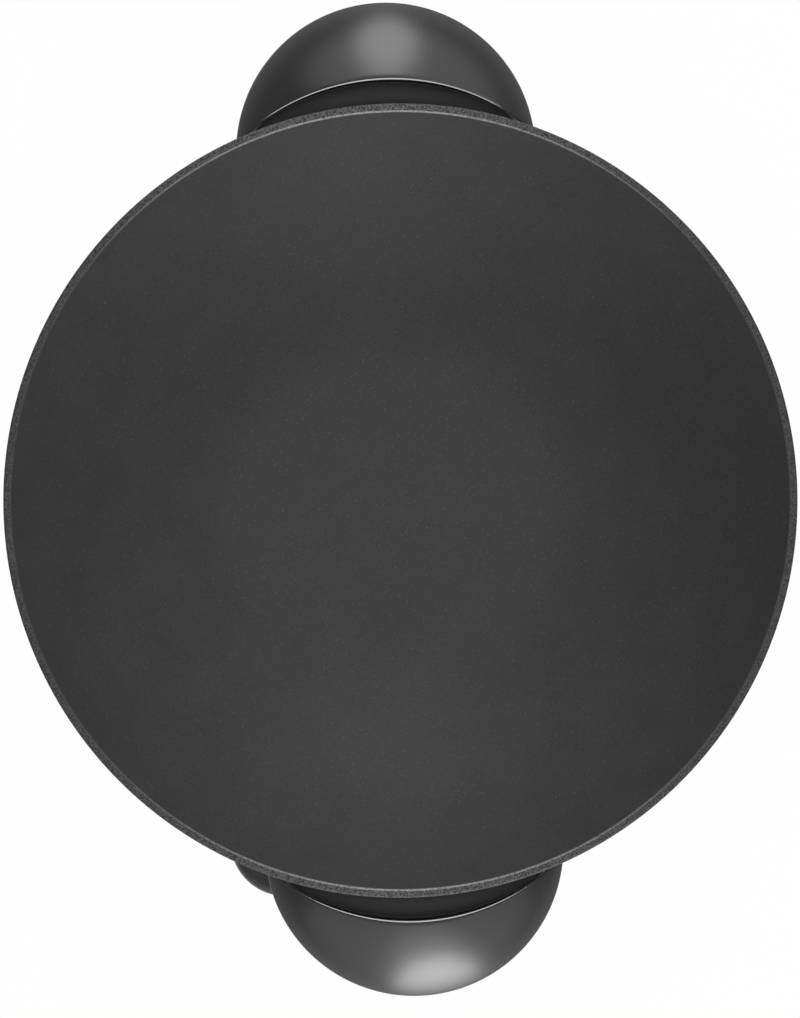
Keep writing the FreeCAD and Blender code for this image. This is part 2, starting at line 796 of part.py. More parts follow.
def make_screws(node, places, shank_r, length, way=-1, turn=0):
    """Upright screws on both sides of the body's YZ plane. A place is across, along and the height of
    the head's seat; the way is 1 for heads on top and -1 for heads below."""
    body = new_body(node, turn)
    made = []
    high = 1.2 * shank_r
    for x, along, z in places:
        profile = new_sketch(body, "XZ", -along, 0, x, z)
        made.append(feature(body, "Revolution", screw_profile(profile, way, shank_r, length)))
        cross = draw_cross(new_sketch(body, "XY", z + way * high), x, along, shank_r, shank_r / 4)
        made.append(feature(body, "Pocket", cross, high / 2, Reversed=way < 0))
    mirror(body, made)
    return keep(body, node)


def make_guard_screws():
    """The two screws that hold the guard lie along the socket's axis, with their heads outward."""
    body = new_body("guard_screws", socket_turn)
    seat = S.boss_reach + S.guard_wall
    profile = new_sketch(body, "XY", element_z, 0, guard_screw_x, -seat)
    shaft = feature(body, "Revolution", screw_profile(profile, -1, S.guard_screw_r, S.guard_screw_length))
    high = 1.2 * S.guard_screw_r
    face = new_sketch(body, "XZ", seat + high)
    cross = draw_cross(face, guard_screw_x, element_z, S.guard_screw_r, S.guard_screw_r / 4)
    mirror(body, [shaft, feature(body, "Pocket", cross, high / 2)])
    return keep(body, "guard_screws")


# ---------------------------------------------------------------- handles


def make_pan_room():
    """The space that the handles leave round the pan: its outside, grown by the gap."""
    body = new_body("PanRoom")
    low = under_z - S.handle_wall
    room_r = outer_side_r + S.handle_pan_gap
    low_r = side_x + (room_r.squared() - (side_z - low).squared()).root()
    top_r = side_x + (room_r.squared() - (side_z - rim_z).squared()).root()
    sketch = new_sketch(body, "XZ")
    draw(sketch, [(0, low), (low_r, low, room_r), (top_r, rim_z), (0, rim_z)])
    feature(body, "Revolution", sketch)
    return body


def both_sides(name, r, height, x, along, z):
    """Two upright cylinders, one on each side of the YZ plane."""
    return [cylinder(f"{name}_{i}", r, height, across * x, along, z) for i, across in enumerate((-1, 1))]


def dome_solid(name, side, r, reach_r):
    """A ball's cap over the handle's disc, down to the line where shell and grip meet."""
    ball = solid("Sphere", f"{name}_ball", {"Radius": r}, 0, side * handle_reach, dome_z)
    disc = cylinder(f"{name}_disc", reach_r, rim_z - part_z, 0, side * handle_reach, part_z)
    return common(name, ball, disc)


def make_cover(end, side):
    """The gloss cover: a dome over the lobe, cut back to the recess wall, with two screw columns."""
    wall, soft = S.handle_wall, S.cover_edge_round
    dome = new_body(f"{end}_dome", 0 if side > 0 else 180)
    soft_z = dome_z + ((dome_r - soft).squared() - (S.handle_r - soft).squared()).root()
    share = dome_r / (dome_r - soft)
    top_z = derive(f"{end}_top_z", dome_z + dome_r)
    meet = ((S.handle_r - soft) * share, dome_z + (soft_z - dome_z) * share)
    crown = new_sketch(dome, "XZ", -handle_reach)
    corners = [(0, part_z), (S.handle_r, part_z), (S.handle_r, soft_z, soft), (*meet, dome_r), (0, top_z)]
    draw(crown, corners)
    feature(dome, "Revolution", crown)
    recess = draw_circle(new_sketch(dome, "XY", top_z), 0, recess_y, S.recess_r)
    feature(dome, "Pocket", recess, top_z - part_z)
    centre = V(0, handle_reach.value, dome_z.value)
    axis = V(0, recess_y.value, 0)

    def on_recess_edge(edge):
        middle = edge.valueAt((edge.FirstParameter + edge.LastParameter) / 2)
        on_dome = abs(middle.distanceToPoint(centre) - dome_r.value) < 0.05
        return on_dome and abs(V(middle.x, middle.y, 0).distanceToPoint(axis) - S.recess_r.value) < 0.05

    round_edges(dome, S.recess_edge_round, on_recess_edge, "Chamfer")
    inner = dome_solid(f"{end}_inner_dome", side, dome_r - wall, S.handle_r - wall)
    wall_r = S.recess_r + wall
    recess_wall = cylinder(f"{end}_recess_wall", wall_r, rim_z - part_z, 0, side * recess_y, part_z)
    room = cut(f"{end}_cover_room", inner, [recess_wall])
    column_top = crown_z - 1.5 * wall
    column = (S.grip_screw_x, side * screw_reach, grip_seat_z)
    columns = both_sides(f"{end}_column", S.column_r, column_top - grip_seat_z, *column)
    bores = both_sides(f"{end}_column_bore", S.grip_screw_r + S.thread_gap, S.grip_screw_length, *column)
    shape = fuse(f"{end}_cover_shape", [cut(f"{end}_cover_shell", dome, [room]), *columns])
    keep(cut(f"{end}_cover", shape, bores), f"{end}_handle_cover")


def make_frame(end, side, pan_room):
    """The matt frame: the recess floor with a cove up to the wall, side walls, and two bosses that
    stand on the pan's lug."""
    wall = S.handle_wall
    y = side * handle_reach
    slab = dome_solid(f"{end}_slab", side, dome_r, S.handle_r)
    height = cylinder(f"{end}_slab_height", S.handle_r, recess_z - part_z, 0, y, part_z)
    hollow = cylinder(f"{end}_slab_hollow", S.handle_r - wall, recess_z - part_z - wall, 0, y, part_z)
    tray = cut(f"{end}_tray", common(f"{end}_tray_shape", slab, height), [hollow])
    arc_r = S.recess_r - S.fit_gap
    inside_arc = cylinder(f"{end}_arc", arc_r, rim_z - part_z, 0, side * recess_y, part_z)
    floor = common(f"{end}_floor", tray, inside_arc)
    cove = new_body(f"{end}_cove_ring")
    section = new_sketch(cove, "XZ", side * -recess_y)
    r, low = S.recess_cove, recess_z - wall / 2
    lip = arc_r - wall / 8
    draw(
        section,
        [(lip - r, low), (arc_r, low), (arc_r, recess_z + r), (lip, recess_z + r, -r), (lip - r, recess_z)],
    )
    feature(cove, "Revolution", section)
    cove_cap = dome_solid(f"{end}_cove_cap", side, dome_r - S.recess_edge_round, S.handle_r)
    corner = common(f"{end}_cove", cove, cove_cap)
    boss = (lug_bolt_x, side * bolt_reach, lug_z)
    depth = recess_z - lug_z - wall / 2
    bosses = both_sides(f"{end}_boss", S.frame_boss_r, depth, *boss)
    threads = both_sides(f"{end}_thread", S.lug_bolt_r + S.thread_gap, depth - wall / 2, *boss)
    shape = cut(f"{end}_frame_room", fuse(f"{end}_frame_shape", [floor, corner]), [pan_room])
    keep(cut(f"{end}_frame", fuse(f"{end}_frame_whole", [shape, *bosses]), threads), f"{end}_handle_frame")


def make_grip(end, side, pan_room):
    """The matt grip under the handle: a shell with a groove for the fingers, and two screw seats."""
    wall = S.handle_wall
    body = new_body(f"{end}_grip", 0 if side > 0 else 180)
    lip_r = S.handle_r - S.grip_lip_width
    lip_z = under_z + S.grip_lip_rise
    groove_z = under_z + S.grip_groove_rise
    groove_r = lip_r - S.grip_groove_in
    slope_r = groove_r - S.grip_groove_half
    slope_z = groove_z - S.grip_groove_round
    flat_r = slope_r - S.grip_slope_run
    side_low = lip_z + S.grip_lip_width
    section = draw(
        new_sketch(body, "XZ", -handle_reach),
        [
            (0, under_z),
            (flat_r, under_z),
            (slope_r, slope_z),
            (groove_r, groove_z),
            (lip_r - S.grip_lip_slope, lip_z + S.grip_lip_lift),
            (lip_r, lip_z, S.grip_lip_width),
            (S.handle_r, side_low),
            (S.handle_r, part_z),
            (S.handle_r - wall, part_z),
            (S.handle_r - wall, side_low),
            (lip_r, lip_z + wall),
            (groove_r, groove_z + wall),
            (slope_r - wall, slope_z + wall),
            (flat_r - wall, under_z + wall),
            (0, under_z + wall),
        ],
    )
    feature(body, "Revolution", section)
    x, along = S.grip_screw_x, side * screw_reach
    seats = both_sides(f"{end}_seat", S.column_r + 2, S.grip_seat_rise, x, along, under_z)
    column_room_r = S.column_r + S.fit_gap
    rooms = both_sides(f"{end}_column_room", column_room_r, S.grip_groove_rise + wall, x, along, grip_seat_z)
    bores = both_sides(f"{end}_seat_bore", S.grip_screw_r + 0.4, S.grip_seat_rise, x, along, under_z)
    heads = both_sides(f"{end}_head_room", 2.2 * S.grip_screw_r, S.grip_seat_rise / 2, x, along, under_z)
    whole = fuse(f"{end}_grip_shape", [body, *seats])
    keep(cut(f"{end}_grip_cut", whole, [pan_room, *rooms, *bores, *heads]), f"{end}_handle_grip")


def make_handle(end, side, pan_room):
    """One handle: frame, cover and grip, bolted to the pan's lug and screwed together from below."""
    make_cover(end, side)
    make_frame(end, side, pan_room)
    make_grip(end, side, pan_room)
    turn = 0 if side > 0 else 180
    bolt_at = (lug_bolt_x, bolt_reach, lug_z - S.lug_thick)
    make_screws(f"{end}_handle_bolts", [bolt_at], S.lug_bolt_r, S.lug_bolt_length, -1, turn)
    screw_at = (S.grip_screw_x, screw_reach, under_z + S.grip_seat_rise / 2)
    make_screws(f"{end}_grip_screws", [screw_at], S.grip_screw_r, S.grip_screw_length, -1, turn)


# ---------------------------------------------------------------- stand

skirt_foot_r = derive("skirt_foot_r", S.foot_ring_r + S.skirt_out)
skirt_top_r = derive("skirt_top_r", skirt_foot_r + S.skirt_flare)
shelf_r = derive("shelf_r", S.foot_ring_r - S.shelf_in)
shelf_z = derive("shelf_z", seat_z - S.pad_thick)
skirt_top_z = derive("skirt_top_z", pan_outside_z(skirt_top_r - S.skirt_wall) - S.skirt_pan_gap)
half_chord2 = ((skirt_top_z - S.skirt_lift).squared() + S.skirt_flare.squared()) / 4
skirt_curve_r = derive("skirt_curve_r", (half_chord2 + S.skirt_hollow.squared()) / (2 * S.skirt_hollow))
control_half = derive("control_half", S.dial_r - S.housing_inset)
notch_half = derive("notch_half", control_half + S.notch_side_gap)
notch_z = derive("notch_z", element_z - S.guard_half_height - S.guard_wall - S.notch_gap)
foot_boss_z = derive("foot_boss_z", boss_z - S.shield_drop)
foot_boss_reach = derive("foot_boss_reach", skirt_foot_r - S.foot_boss_in)
shield_r = derive("shield_r", skirt_foot_r - S.skirt_wall - S.shield_edge_gap)
shield_screw_reach = derive("shield_screw_reach", foot_boss_reach - S.shield_screw_in)


def make_skirt(body):
    """The stand's hollow-sided wall, and the shelf inside it that carries the pan."""
    wall = S.skirt_wall
    skirt = draw(
        new_sketch(body, "XZ"),
        [
            (skirt_foot_r - wall, S.skirt_lift),
            (skirt_foot_r, S.skirt_lift, -skirt_curve_r),
            (skirt_top_r, skirt_top_z),
            (skirt_top_r - wall, skirt_top_z, skirt_curve_r),
        ],
    )
    feature(body, "Revolution", skirt)
    round_edges(body, S.skirt_edge_round, lambda edge: at_height(edge, skirt_top_z.value))
    shelf_out = skirt_foot_r - wall / 5
    low = shelf_z - S.shelf_thick
    corners = [(shelf_r, low), (shelf_out, low), (shelf_out, shelf_z), (shelf_r, shelf_z)]
    shelf = draw(new_sketch(body, "XZ"), corners)
    feature(body, "Revolution", shelf)


def foot_sketch(body, z, reach, r):
    """A circle at one foot, a quarter of the way between the stand's axes."""
    return draw_circle(new_sketch(body, "XY", z, 45), reach, 0, r)


def make_foot_bosses(body):
    boss = foot_sketch(body, S.skirt_lift, foot_boss_reach, S.foot_boss_r)
    pattern(body, feature(body, "Pad", boss, foot_boss_z - S.skirt_lift), 4)
    seat = foot_sketch(body, S.skirt_lift, foot_boss_reach, S.foot_r + S.fit_gap)
    pattern(body, feature(body, "Pocket", seat, S.foot_height - S.skirt_lift, Reversed=True), 4)
    stem = foot_sketch(body, S.foot_height, foot_boss_reach, S.foot_stem_r + S.fit_gap)
    pattern(body, feature(body, "Pocket", stem, S.foot_stem_length + 2 * S.fit_gap, Reversed=True), 4)
    thread = foot_sketch(body, foot_boss_z, shield_screw_reach, S.shield_screw_r + S.thread_gap)
    pattern(body, feature(body, "Pocket", thread, S.shield_screw_length), 4)


def cut_arches(body):
    """Low arches on all four sides, between the feet."""
    low, high, round_r, half = 0, S.skirt_lift + S.arch_height, S.arch_round, S.arch_half
    corners = [(-half, low), (half, low), (half, high - round_r, round_r), (half - round_r, high)]
    corners += [(round_r - half, high, round_r), (-half, high - round_r)]
    for plane in ("XZ", "YZ"):
        arch = draw(new_sketch(body, plane), corners)
        feature(body, "Pocket", arch, 3 * skirt_top_r, SideType="Symmetric")


def cut_vents(body):
    """Upright slots round the skirt, apart from the stretch that the control's notch takes."""
    low, high = foot_boss_z + S.vent_low_gap, shelf_z - S.shelf_thick - S.vent_high_gap
    half = S.vent_half
    slot = draw(
        new_sketch(body, "XZ", skirt_top_r + half, socket_turn + S.vent_free_angle),
        [
            (half, low + half),
            (half, high - half, half),
            (0, high, half),
            (-half, high - half),
            (-half, low + half, half),
            (0, low, half),
        ],
    )
    depth = S.skirt_flare + S.skirt_hollow + S.skirt_wall + 2 * half
    vents = pattern(body, feature(body, "Pocket", slot, depth), S.vent_count)
    bind(vents, "Angle", 360 - 2 * S.vent_free_angle)


def cut_notch(body):
    """The opening that the control is pushed in through, open at the skirt's top."""
    half_height = skirt_top_z - notch_z
    deep = skirt_top_r - shelf_r
    notch = new_sketch(body, "XZ", skirt_top_r + S.notch_round, socket_turn)
    draw_rounded_box(notch, Size.of(0), notch_z + half_height, notch_half, half_height, S.notch_round)
    feature(body, "Pocket", notch, deep + 2 * S.notch_round)


def make_base():
    body = new_body("BaseShell")
    make_skirt(body)
    make_foot_bosses(body)
    cut_arches(body)
    cut_vents(body)
    cut_notch(body)
    return keep(body, "base_shell")


def make_seat_ring():
    """The soft pad on the shelf, with a gap over the control's notch."""
    body = new_body("SeatRing")
    low = S.foot_ring_r - S.foot_ring_wall
    high = S.foot_ring_r + S.foot_ring_wall
    ring = new_sketch(body, "XY", shelf_z)
    draw_circle(ring, 0, 0, low)
    draw_circle(ring, 0, 0, high)
    feature(body, "Pad", ring, S.pad_thick)
    gap = new_sketch(body, "XY", seat_z, socket_turn)
    half = notch_half + S.fit_gap
    draw(gap, [(-half, -high - 1), (half, -high - 1), (half, 0), (-half, 0)])
    feature(body, "Pocket", gap, S.pad_thick)
    return keep(body, "seat_ring")


def make_shield():
    """The heat shield: a dished sheet on the foot bosses, with eight air holes."""
    body = new_body("HeatShield")
    z, t, dish = foot_boss_z, S.shield_thick, S.shield_dish
    flat = shield_screw_reach - 6 * S.shield_screw_r
    crown = flat - 2.4 * dish
    lower = [(0, z + dish), (crown, z + dish), (flat, z), (shield_r - dish / 3, z), (shield_r, z + dish / 2)]
    upper = [(r, height + t) for r, height in reversed(lower)]
    feature(body, "Revolution", draw(new_sketch(body, "XZ"), lower + upper))
    hole = foot_sketch(body, z + t, shield_screw_reach, S.shield_screw_r + 2 * S.fit_gap)
    pattern(body, feature(body, "Pocket", hole, t), 4)
    vent = foot_sketch(body, z + dish + t, crown * 3 / 4, 2 * S.vent_half)
    pattern(body, feature(body, "Pocket", vent, t), 8)
    return keep(body, "heat_shield")


def make_feet():
    body = new_body("RubberFeet")
    r, stem, soft = S.foot_r, S.foot_stem_r, S.foot_r / 8
    profile = draw(
        new_sketch(body, "XZ", 0, 45, foot_boss_reach),
        [
            (0, S.foot_hollow),
            (r - S.foot_rim - S.foot_hollow, S.foot_hollow),
            (r - S.foot_rim, 0),
            (r - soft, 0, soft),
            (r, soft),
            (r, S.foot_height),
            (stem, S.foot_height),
            (stem, S.foot_height + S.foot_stem_length),
            (0, S.foot_height + S.foot_stem_length),
        ],
    )
    pattern(body, feature(body, "Revolution", profile), 4)
    return keep(body, "rubber_feet")


def make_shield_screws():
    body = new_body("ShieldScrews")
    seat = foot_boss_z + S.shield_thick
    shank = S.shield_screw_r
    profile = new_sketch(body, "XZ", 0, 45, shield_screw_reach, seat)
    head = feature(body, "Revolution", screw_profile(profile, 1, shank, S.shield_screw_length))
    high = 1.2 * shank
    face = new_sketch(body, "XY", seat + high, 45)
    draw_cross(face, shield_screw_reach, Size.of(0), shank, shank / 4)
    cross = feature(body, "Pocket", face, high / 2)
    pattern(body, head, 4).Originals = [head, cross]
    return keep(body, "shield_screws")


# ---------------------------------------------------------------- temperature control

control_back = derive("control_back", S.boss_reach + guard_length + S.control_gap)
control_top_z = derive("control_top_z", element_z + S.control_rise)
control_low_z = derive("control_low_z", element_z - S.control_fall)
dial_y = derive("dial_y", control_back + S.dial_in)
dial_z = derive("dial_z", control_top_z + S.dial_gap)
dial_height = derive("dial_height", under_z - S.dial_headroom - dial_z)
nose_tip = derive("nose_tip", S.boss_reach + S.nose_gap)
nose_end = derive("nose_end", control_back + S.nose_tail)
nose_w = derive("nose_w", S.guard_half_width - S.nose_side_gap)
nose_h = derive("nose_h", S.guard_half_height - S.nose_height_gap)
contact_bore_r = derive("contact_bore_r", S.pin_r + S.pin_gap)
contact_r = derive("contact_r", contact_bore_r + S.contact_wall)
gland_y = derive("gland_y", control_back + S.gland_in)
gland_r = derive("gland_r", S.gland_bore_r + S.gland_wall)
lens_y = derive("lens_y", control_back + S.lens_in)
trigger_y = derive("trigger_y", control_back + S.trigger_in)
trigger_z = derive("trigger_z", control_low_z - S.trigger_hang)
leaf_z = derive("leaf_z", element_z - S.bracket_fall + S.bracket_thick + S.stack_height)
posts = ((S.post_x, control_back + S.post_in), (S.tail_post_x, dial_y + S.tail_post_out))


def draw_control(sketch, inset=0):
    half, back, end = control_half - inset, control_back + inset, dial_y
    return draw(
        sketch,
        [(-half, -back), (-half, -end, half), (0, -end - half, half), (half, -end), (half, -back)],
    )


def draw_posts(body, z, r):
    sketch = new_sketch(body, "XY", z)
    for x, along in posts:
        for across in (-1, 1):
            draw_circle(sketch, across * x, -along, r)
    return sketch


def make_control_half(node, up):
    """Half of the control's housing, from the element's height up or down, with its screw posts and
    its shares of the nose's and the cord gland's openings."""
    body = new_body(node, socket_turn)
    wall = S.control_wall
    height = S.control_rise if up else S.control_fall
    face_z = control_top_z if up else control_low_z
    feature(body, "Pad", draw_control(new_sketch(body, "XY", element_z)), height, Reversed=not up)
    round_edges(body, S.housing_corner, lambda edge: at_reach(edge, control_back) and upright(edge))
    round_edges(body, S.housing_round, lambda edge: at_height(edge, face_z.value))
    inside = draw_control(new_sketch(body, "XY", element_z), wall)
    feature(body, "Pocket", inside, height - wall, Reversed=up)
    feature(body, "Pad", draw_posts(body, element_z, S.post_r), height - wall / 2, Reversed=not up)
    nose = new_sketch(body, "XZ", control_back + wall)
    w, h = nose_w + S.fit_gap, nose_h + S.fit_gap
    draw(nose, [(-w, element_z - h), (w, element_z - h), (w, element_z + h), (-w, element_z + h)])
    feature(body, "Pocket", nose, wall + 1)
    entry = draw_circle(new_sketch(body, "YZ", control_half + 1), -gland_y, element_z, gland_r + S.fit_gap)
    feature(body, "Pocket", entry, wall + 2)
    if up:
        threads = draw_posts(body, element_z, S.post_thread_r)
        feature(body, "Pocket", threads, height - 2 * wall, Reversed=True)
        top = new_sketch(body, "XY", control_top_z)
        draw_circle(top, 0, -dial_y, S.spindle_r + 2 * S.fit_gap)
        draw_circle(top, S.lens_x, -lens_y, S.lens_r + S.fit_gap)
        feature(body, "Pocket", top, wall)
    else:
        feature(body, "Pocket", draw_posts(body, element_z, S.post_bore_r), height)
        heads = draw_posts(body, control_low_z, S.post_r - 0.4)
        feature(body, "Pocket", heads, 2 * S.post_bore_r, Reversed=True)
        add_trigger_ears(body)
    return keep(body, node)


def add_trigger_ears(body):
    """Two ears under the housing that hold the release lever's pin."""
    inner = S.trigger_half + 4 * S.fit_gap
    outer = inner + S.trigger_ear
    near, far = trigger_y - 1.5 * S.trigger_ear, trigger_y + 1.5 * S.trigger_ear
    ears = new_sketch(body, "XY", control_low_z)
    for across in (-1, 1):
        a, b = across * inner, across * outer
        draw(ears, [(a, -near), (b, -near), (b, -far), (a, -far)])
    drop = S.trigger_hang + 1.5 * S.trigger_ear
    feature(body, "Pad", ears, drop, Reversed=True)
    low_z = (control_low_z - drop).value
    round_edges(body, S.trigger_ear, lambda edge: at_height(edge, low_z) and edge.BoundBox.YLength < 0.01)
    pin = draw_circle(new_sketch(body, "YZ", outer), -trigger_y, trigger_z, S.trigger_pin_r + S.thread_gap)
    feature(body, "Pocket", pin, 2 * outer)


def make_nose():
    """The heat-resistant nose that enters the guard, with bores for two sockets and the rod."""
    body = new_body("ControlNose", socket_turn)
    length = nose_end - nose_tip
    face = new_sketch(body, "XZ", nose_tip)
    feature(body, "Pad", draw_rounded_box(face, Size.of(0), element_z, nose_w, nose_h, S.nose_corner), length)
    bores = new_sketch(body, "XZ", nose_end)
    draw_circle(bores, 0, element_z, S.rod_r + S.fit_gap)
    for across in (-1, 1):
        draw_circle(bores, across * pin_x, element_z, contact_r + S.fit_gap)
    feature(body, "Pocket", bores, length)

    def on_tip_outline(edge):
        return at_reach(edge, nose_tip) and len(edge.Vertexes) == 2

    round_edges(body, S.nose_corner / 4, on_tip_outline, "Chamfer")
    return keep(body, "control_nose")


def make_rod():
    body = new_body("SensorRod", socket_turn)
    r, tip = S.rod_r, S.boss_reach - S.bore_depth + S.rod_tip_gap
    end = nose_end + 2 * S.bracket_thick
    outline = [(0, -tip), (r / 2, -tip), (r, -tip - r), (r, -end), (0, -end)]
    feature(body, "Revolution", draw(new_sketch(body, "XY", element_z), outline))
    return keep(body, "sensor_rod")


def make_thermostat():
    """A bracket behind the nose with a stack of washers, and a contact leaf under the spindle."""
    body = new_body("ThermostatFrame", socket_turn)
    z, t, half, fall = element_z, S.bracket_thick, S.bracket_half, S.bracket_fall
    far = dial_y + S.bracket_past_dial
    floor = z - fall + t
    outline = [(-nose_end, z - fall), (-nose_end, z + fall), (-nose_end - t, z + fall)]
    outline += [(-nose_end - t, floor), (-far, floor), (-far, z - fall)]
    feature(body, "Pad", draw(new_sketch(body, "YZ", -half), outline), 2 * half)
    clearance = draw_circle(new_sketch(body, "XZ", nose_end + t), 0, z, S.rod_r + S.fit_gap)
    feature(body, "Pocket", clearance, t)
    stack = draw_circle(new_sketch(body, "XY", floor), 0, -nose_end - S.stack_out, S.stack_height)
    feature(body, "Pad", stack, S.stack_height)
    keep(body, "thermostat_frame")
    leaf = new_body("ContactLeaf", socket_turn)
    top = leaf_z
    near, far = nose_end + S.leaf_start, dial_y + S.leaf_past
    points = [(-near, top), (S.leaf_bend - dial_y, top)]
    points += [(-dial_y, top + S.leaf_step), (-far, top + S.leaf_step)]
    back = [(y, height + S.leaf_thick) for y, height in reversed(points)]
    strip = draw(new_sketch(leaf, "YZ", -S.leaf_half), points + back)
    feature(leaf, "Pad", strip, 2 * S.leaf_half)
    return keep(leaf, "contact_leaf")


def make_gland():
    """The cord's strain relief: a flanged sleeve through the housing's side."""
    body = new_body("CordGland", socket_turn)
    inner = control_half - S.control_wall - 2 * S.fit_gap
    r, bore, end = gland_r, S.gland_bore_r, control_half + S.gland_length
    collar, collar_r = control_half + 2 * S.fit_gap, r + S.gland_collar_out
    flange, flange_r = inner - S.gland_flange, r + S.gland_flange_out
    outline = [
        (flange, bore),
        (end, bore),
        (end, bore + S.gland_end_wall),
        (collar + S.gland_collar, collar_r),
        (collar, collar_r),
        (collar, r),
        (inner, r),
        (inner, flange_r),
        (flange, flange_r),
    ]
    profile = new_sketch(body, "XY", element_z, 0, 0, -gland_y)
    feature(body, "Revolution", draw(profile, outline), axis="H_Axis")
    return keep(body, "cord_gland")


def make_lens():
    body = new_body("LampLens", socket_turn)
    r, wall, gap, crown = S.lens_r, S.control_wall, S.fit_gap, S.lens_crown
    low, flange_r = -wall - S.lens_flange, S.lens_r + S.lens_flange_out
    outline = [(0, low), (flange_r, low), (flange_r, -wall - gap), (r, -wall - gap), (r, gap)]
    outline += [(r - crown, crown * 3 / 4), (0, crown)]
    feature(body, "Revolution", draw(new_sketch(body, "XZ", lens_y, 0, S.lens_x, control_top_z), outline))
    return keep(body, "lamp_lens")


def make_trigger():
    """The release lever: its thumb plate hangs under the dial's end, and a leaf pushes it down."""
    body = new_body("ReleaseTrigger", socket_turn)
    y, z, half = -trigger_y, trigger_z, S.trigger_half
    end = -dial_y - S.trigger_past_dial
    thin, barrel, lip = S.lever_thick / 2, S.lever_barrel, S.lever_lip
    hook = control_low_z + S.lever_hook_rise
    hook_y = y + S.lever_hook_in
    outline = [
        (hook_y, hook),
        (hook_y - S.lever_hook_thick, hook),
        (hook_y - S.lever_hook_thick, hook - S.lever_hook_height),
        (y + barrel * 0.6, z + barrel),
        (y - S.lever_knee, z + thin),
        (end + lip, z + thin),
        (end, z + thin - lip * 0.7),
        (end + thin, z - thin - S.lever_lip_drop),
        (end + lip + 1.5 * thin, z - thin),
        (y - S.lever_knee, z - thin),
        (y - barrel * 0.3, z - barrel),
        (y + barrel * 0.75, z - barrel * 0.7),
        (y + barrel * 1.1, z + barrel * 0.3),
    ]
    lever = draw(new_sketch(body, "YZ", -half), outline)
    feature(body, "Pad", lever, 2 * half)
    bore = draw_circle(new_sketch(body, "YZ", half), y, z, S.trigger_pin_r + 2 * S.fit_gap)
    feature(body, "Pocket", bore, 2 * half)
    grooves = new_sketch(body, "XY", z - thin)
    side = half - S.lever_groove_end
    for step in range(3):
        near = end + S.lever_groove_start + S.lever_groove_pitch * step
        far = near + S.lever_groove
        draw(grooves, [(-side, near), (side, near), (side, far), (-side, far)])
    feature(body, "Pocket", grooves, S.lever_groove_depth, Reversed=True)
    keep(body, "release_trigger")
    pin = new_body("TriggerPin", socket_turn)
    length = S.trigger_half + 4 * S.fit_gap + S.trigger_ear
    feature(pin, "Pad", draw_circle(new_sketch(pin, "YZ", -length), y, z, S.trigger_pin_r), 2 * length)
    keep(pin, "trigger_pin")
    spring = new_body("TriggerSpring", socket_turn)
    top, t = control_low_z, S.leaf_thick
    rest = z + thin + t
    root = y - S.spring_root
    flat = root - S.spring_flat
    bend = flat - S.spring_bend
    tip = bend - S.spring_arm
    points = [(root, top), (flat, top), (bend, top - 3 * t), (tip, rest + t / 2), (tip - S.spring_foot, rest)]
    points += [(py, pz - t) for py, pz in reversed(points)]
    strip = draw(new_sketch(spring, "YZ", -S.leaf_half), points)
    feature(spring, "Pad", strip, 2 * S.leaf_half)
    return keep(spring, "trigger_spring")


def make_dial():
    """The dial, turned by its fluted edge, and the spindle pressed into it."""
    place = (socket_turn, dial_y * socket_turn.sine(), -dial_y * socket_turn.cosine())
    body = new_body("DialKnob", *place)
    z, r, soft = dial_z, S.dial_r, S.dial_round
    top = z + dial_height
    ball_r = ((r - soft).squared() + S.dial_crown.squared()) / (2 * S.dial_crown)
    bore_r, bore_top = S.spindle_r + S.thread_gap, top - S.dial_cap
    outline = [
        (bore_r, z),
        (r - S.dial_foot_in, z),
        (r - S.dial_foot_in, z + S.dial_foot_rise),
        (r - S.dial_edge / 2, z + S.dial_foot_rise),
        (r, z + S.dial_foot_rise + S.dial_edge),
        (r, top - soft, soft),
        (r - soft, top, ball_r),
        (0, top + S.dial_crown),
        (0, bore_top),
        (bore_r, bore_top),
    ]
    feature(body, "Revolution", draw(new_sketch(body, "XZ"), outline))
    low = z + S.dial_foot_rise + S.dial_edge + S.flute_r
    flute = draw_circle(new_sketch(body, "XY", top - soft), 0, r + S.flute_r - S.flute_depth, S.flute_r)
    pattern(body, feature(body, "Pocket", flute, top - soft - low), S.dial_flutes)
    keep(body, "dial_knob")
    spindle = new_body("DialSpindle", *place)
    shaft = new_sketch(spindle, "XZ")
    low = leaf_z + S.leaf_step + 2 * S.leaf_thick
    end = bore_top - S.fit_gap
    tip = S.spindle_r / 2
    draw(shaft, [(0, low), (S.spindle_r - tip, low), (S.spindle_r, low + tip), (S.spindle_r, end), (0, end)])
    feature(spindle, "Revolution", shaft)
    return keep(spindle, "dial_spindle")


def make_all():
    make_pan()
    make_element()
    make_pins()
    make_round_pair("pin_insulators", S.insulator_r, S.boss_reach, S.insulator_length, S.pin_r + 0.1)
    make_guard()
    make_guard_screws()
    pan_room = make_pan_room()
    make_handle("front", -1, pan_room)
    make_handle("rear", 1, pan_room)
    make_base()
    make_seat_ring()
    make_shield()
    make_shield_screws()
    make_feet()
    make_control_half("control_upper", True)
    make_control_half("control_lower", False)
    make_nose()
    make_round_pair("contact_sockets", contact_r, nose_tip + 1, S.contact_length, contact_bore_r)
    make_rod()
    make_thermostat()
    screws = [(x, -along, control_low_z + 2 * S.post_bore_r) for x, along in posts]
    make_screws("control_screws", screws, S.post_thread_r - 0.1, S.control_screw_length, -1, socket_turn)
    make_gland()
    make_lens()
    make_trigger()
    make_dial()


make_all()
doc.recompute()
for thing in doc.Objects:
    if {"Invalid", "Error"} & set(thing.State):
        raise RuntimeError(f"{thing.Label}: {thing.State}")
os.makedirs("parts", exist_ok=True)
for piece in pieces:
    shape = piece.Shape
    if shape.isNull() or not shape.isValid():
        raise RuntimeError(f"{piece.Label}: bad shape")
    shape.exportStep(f"parts/{piece.Label}.step")
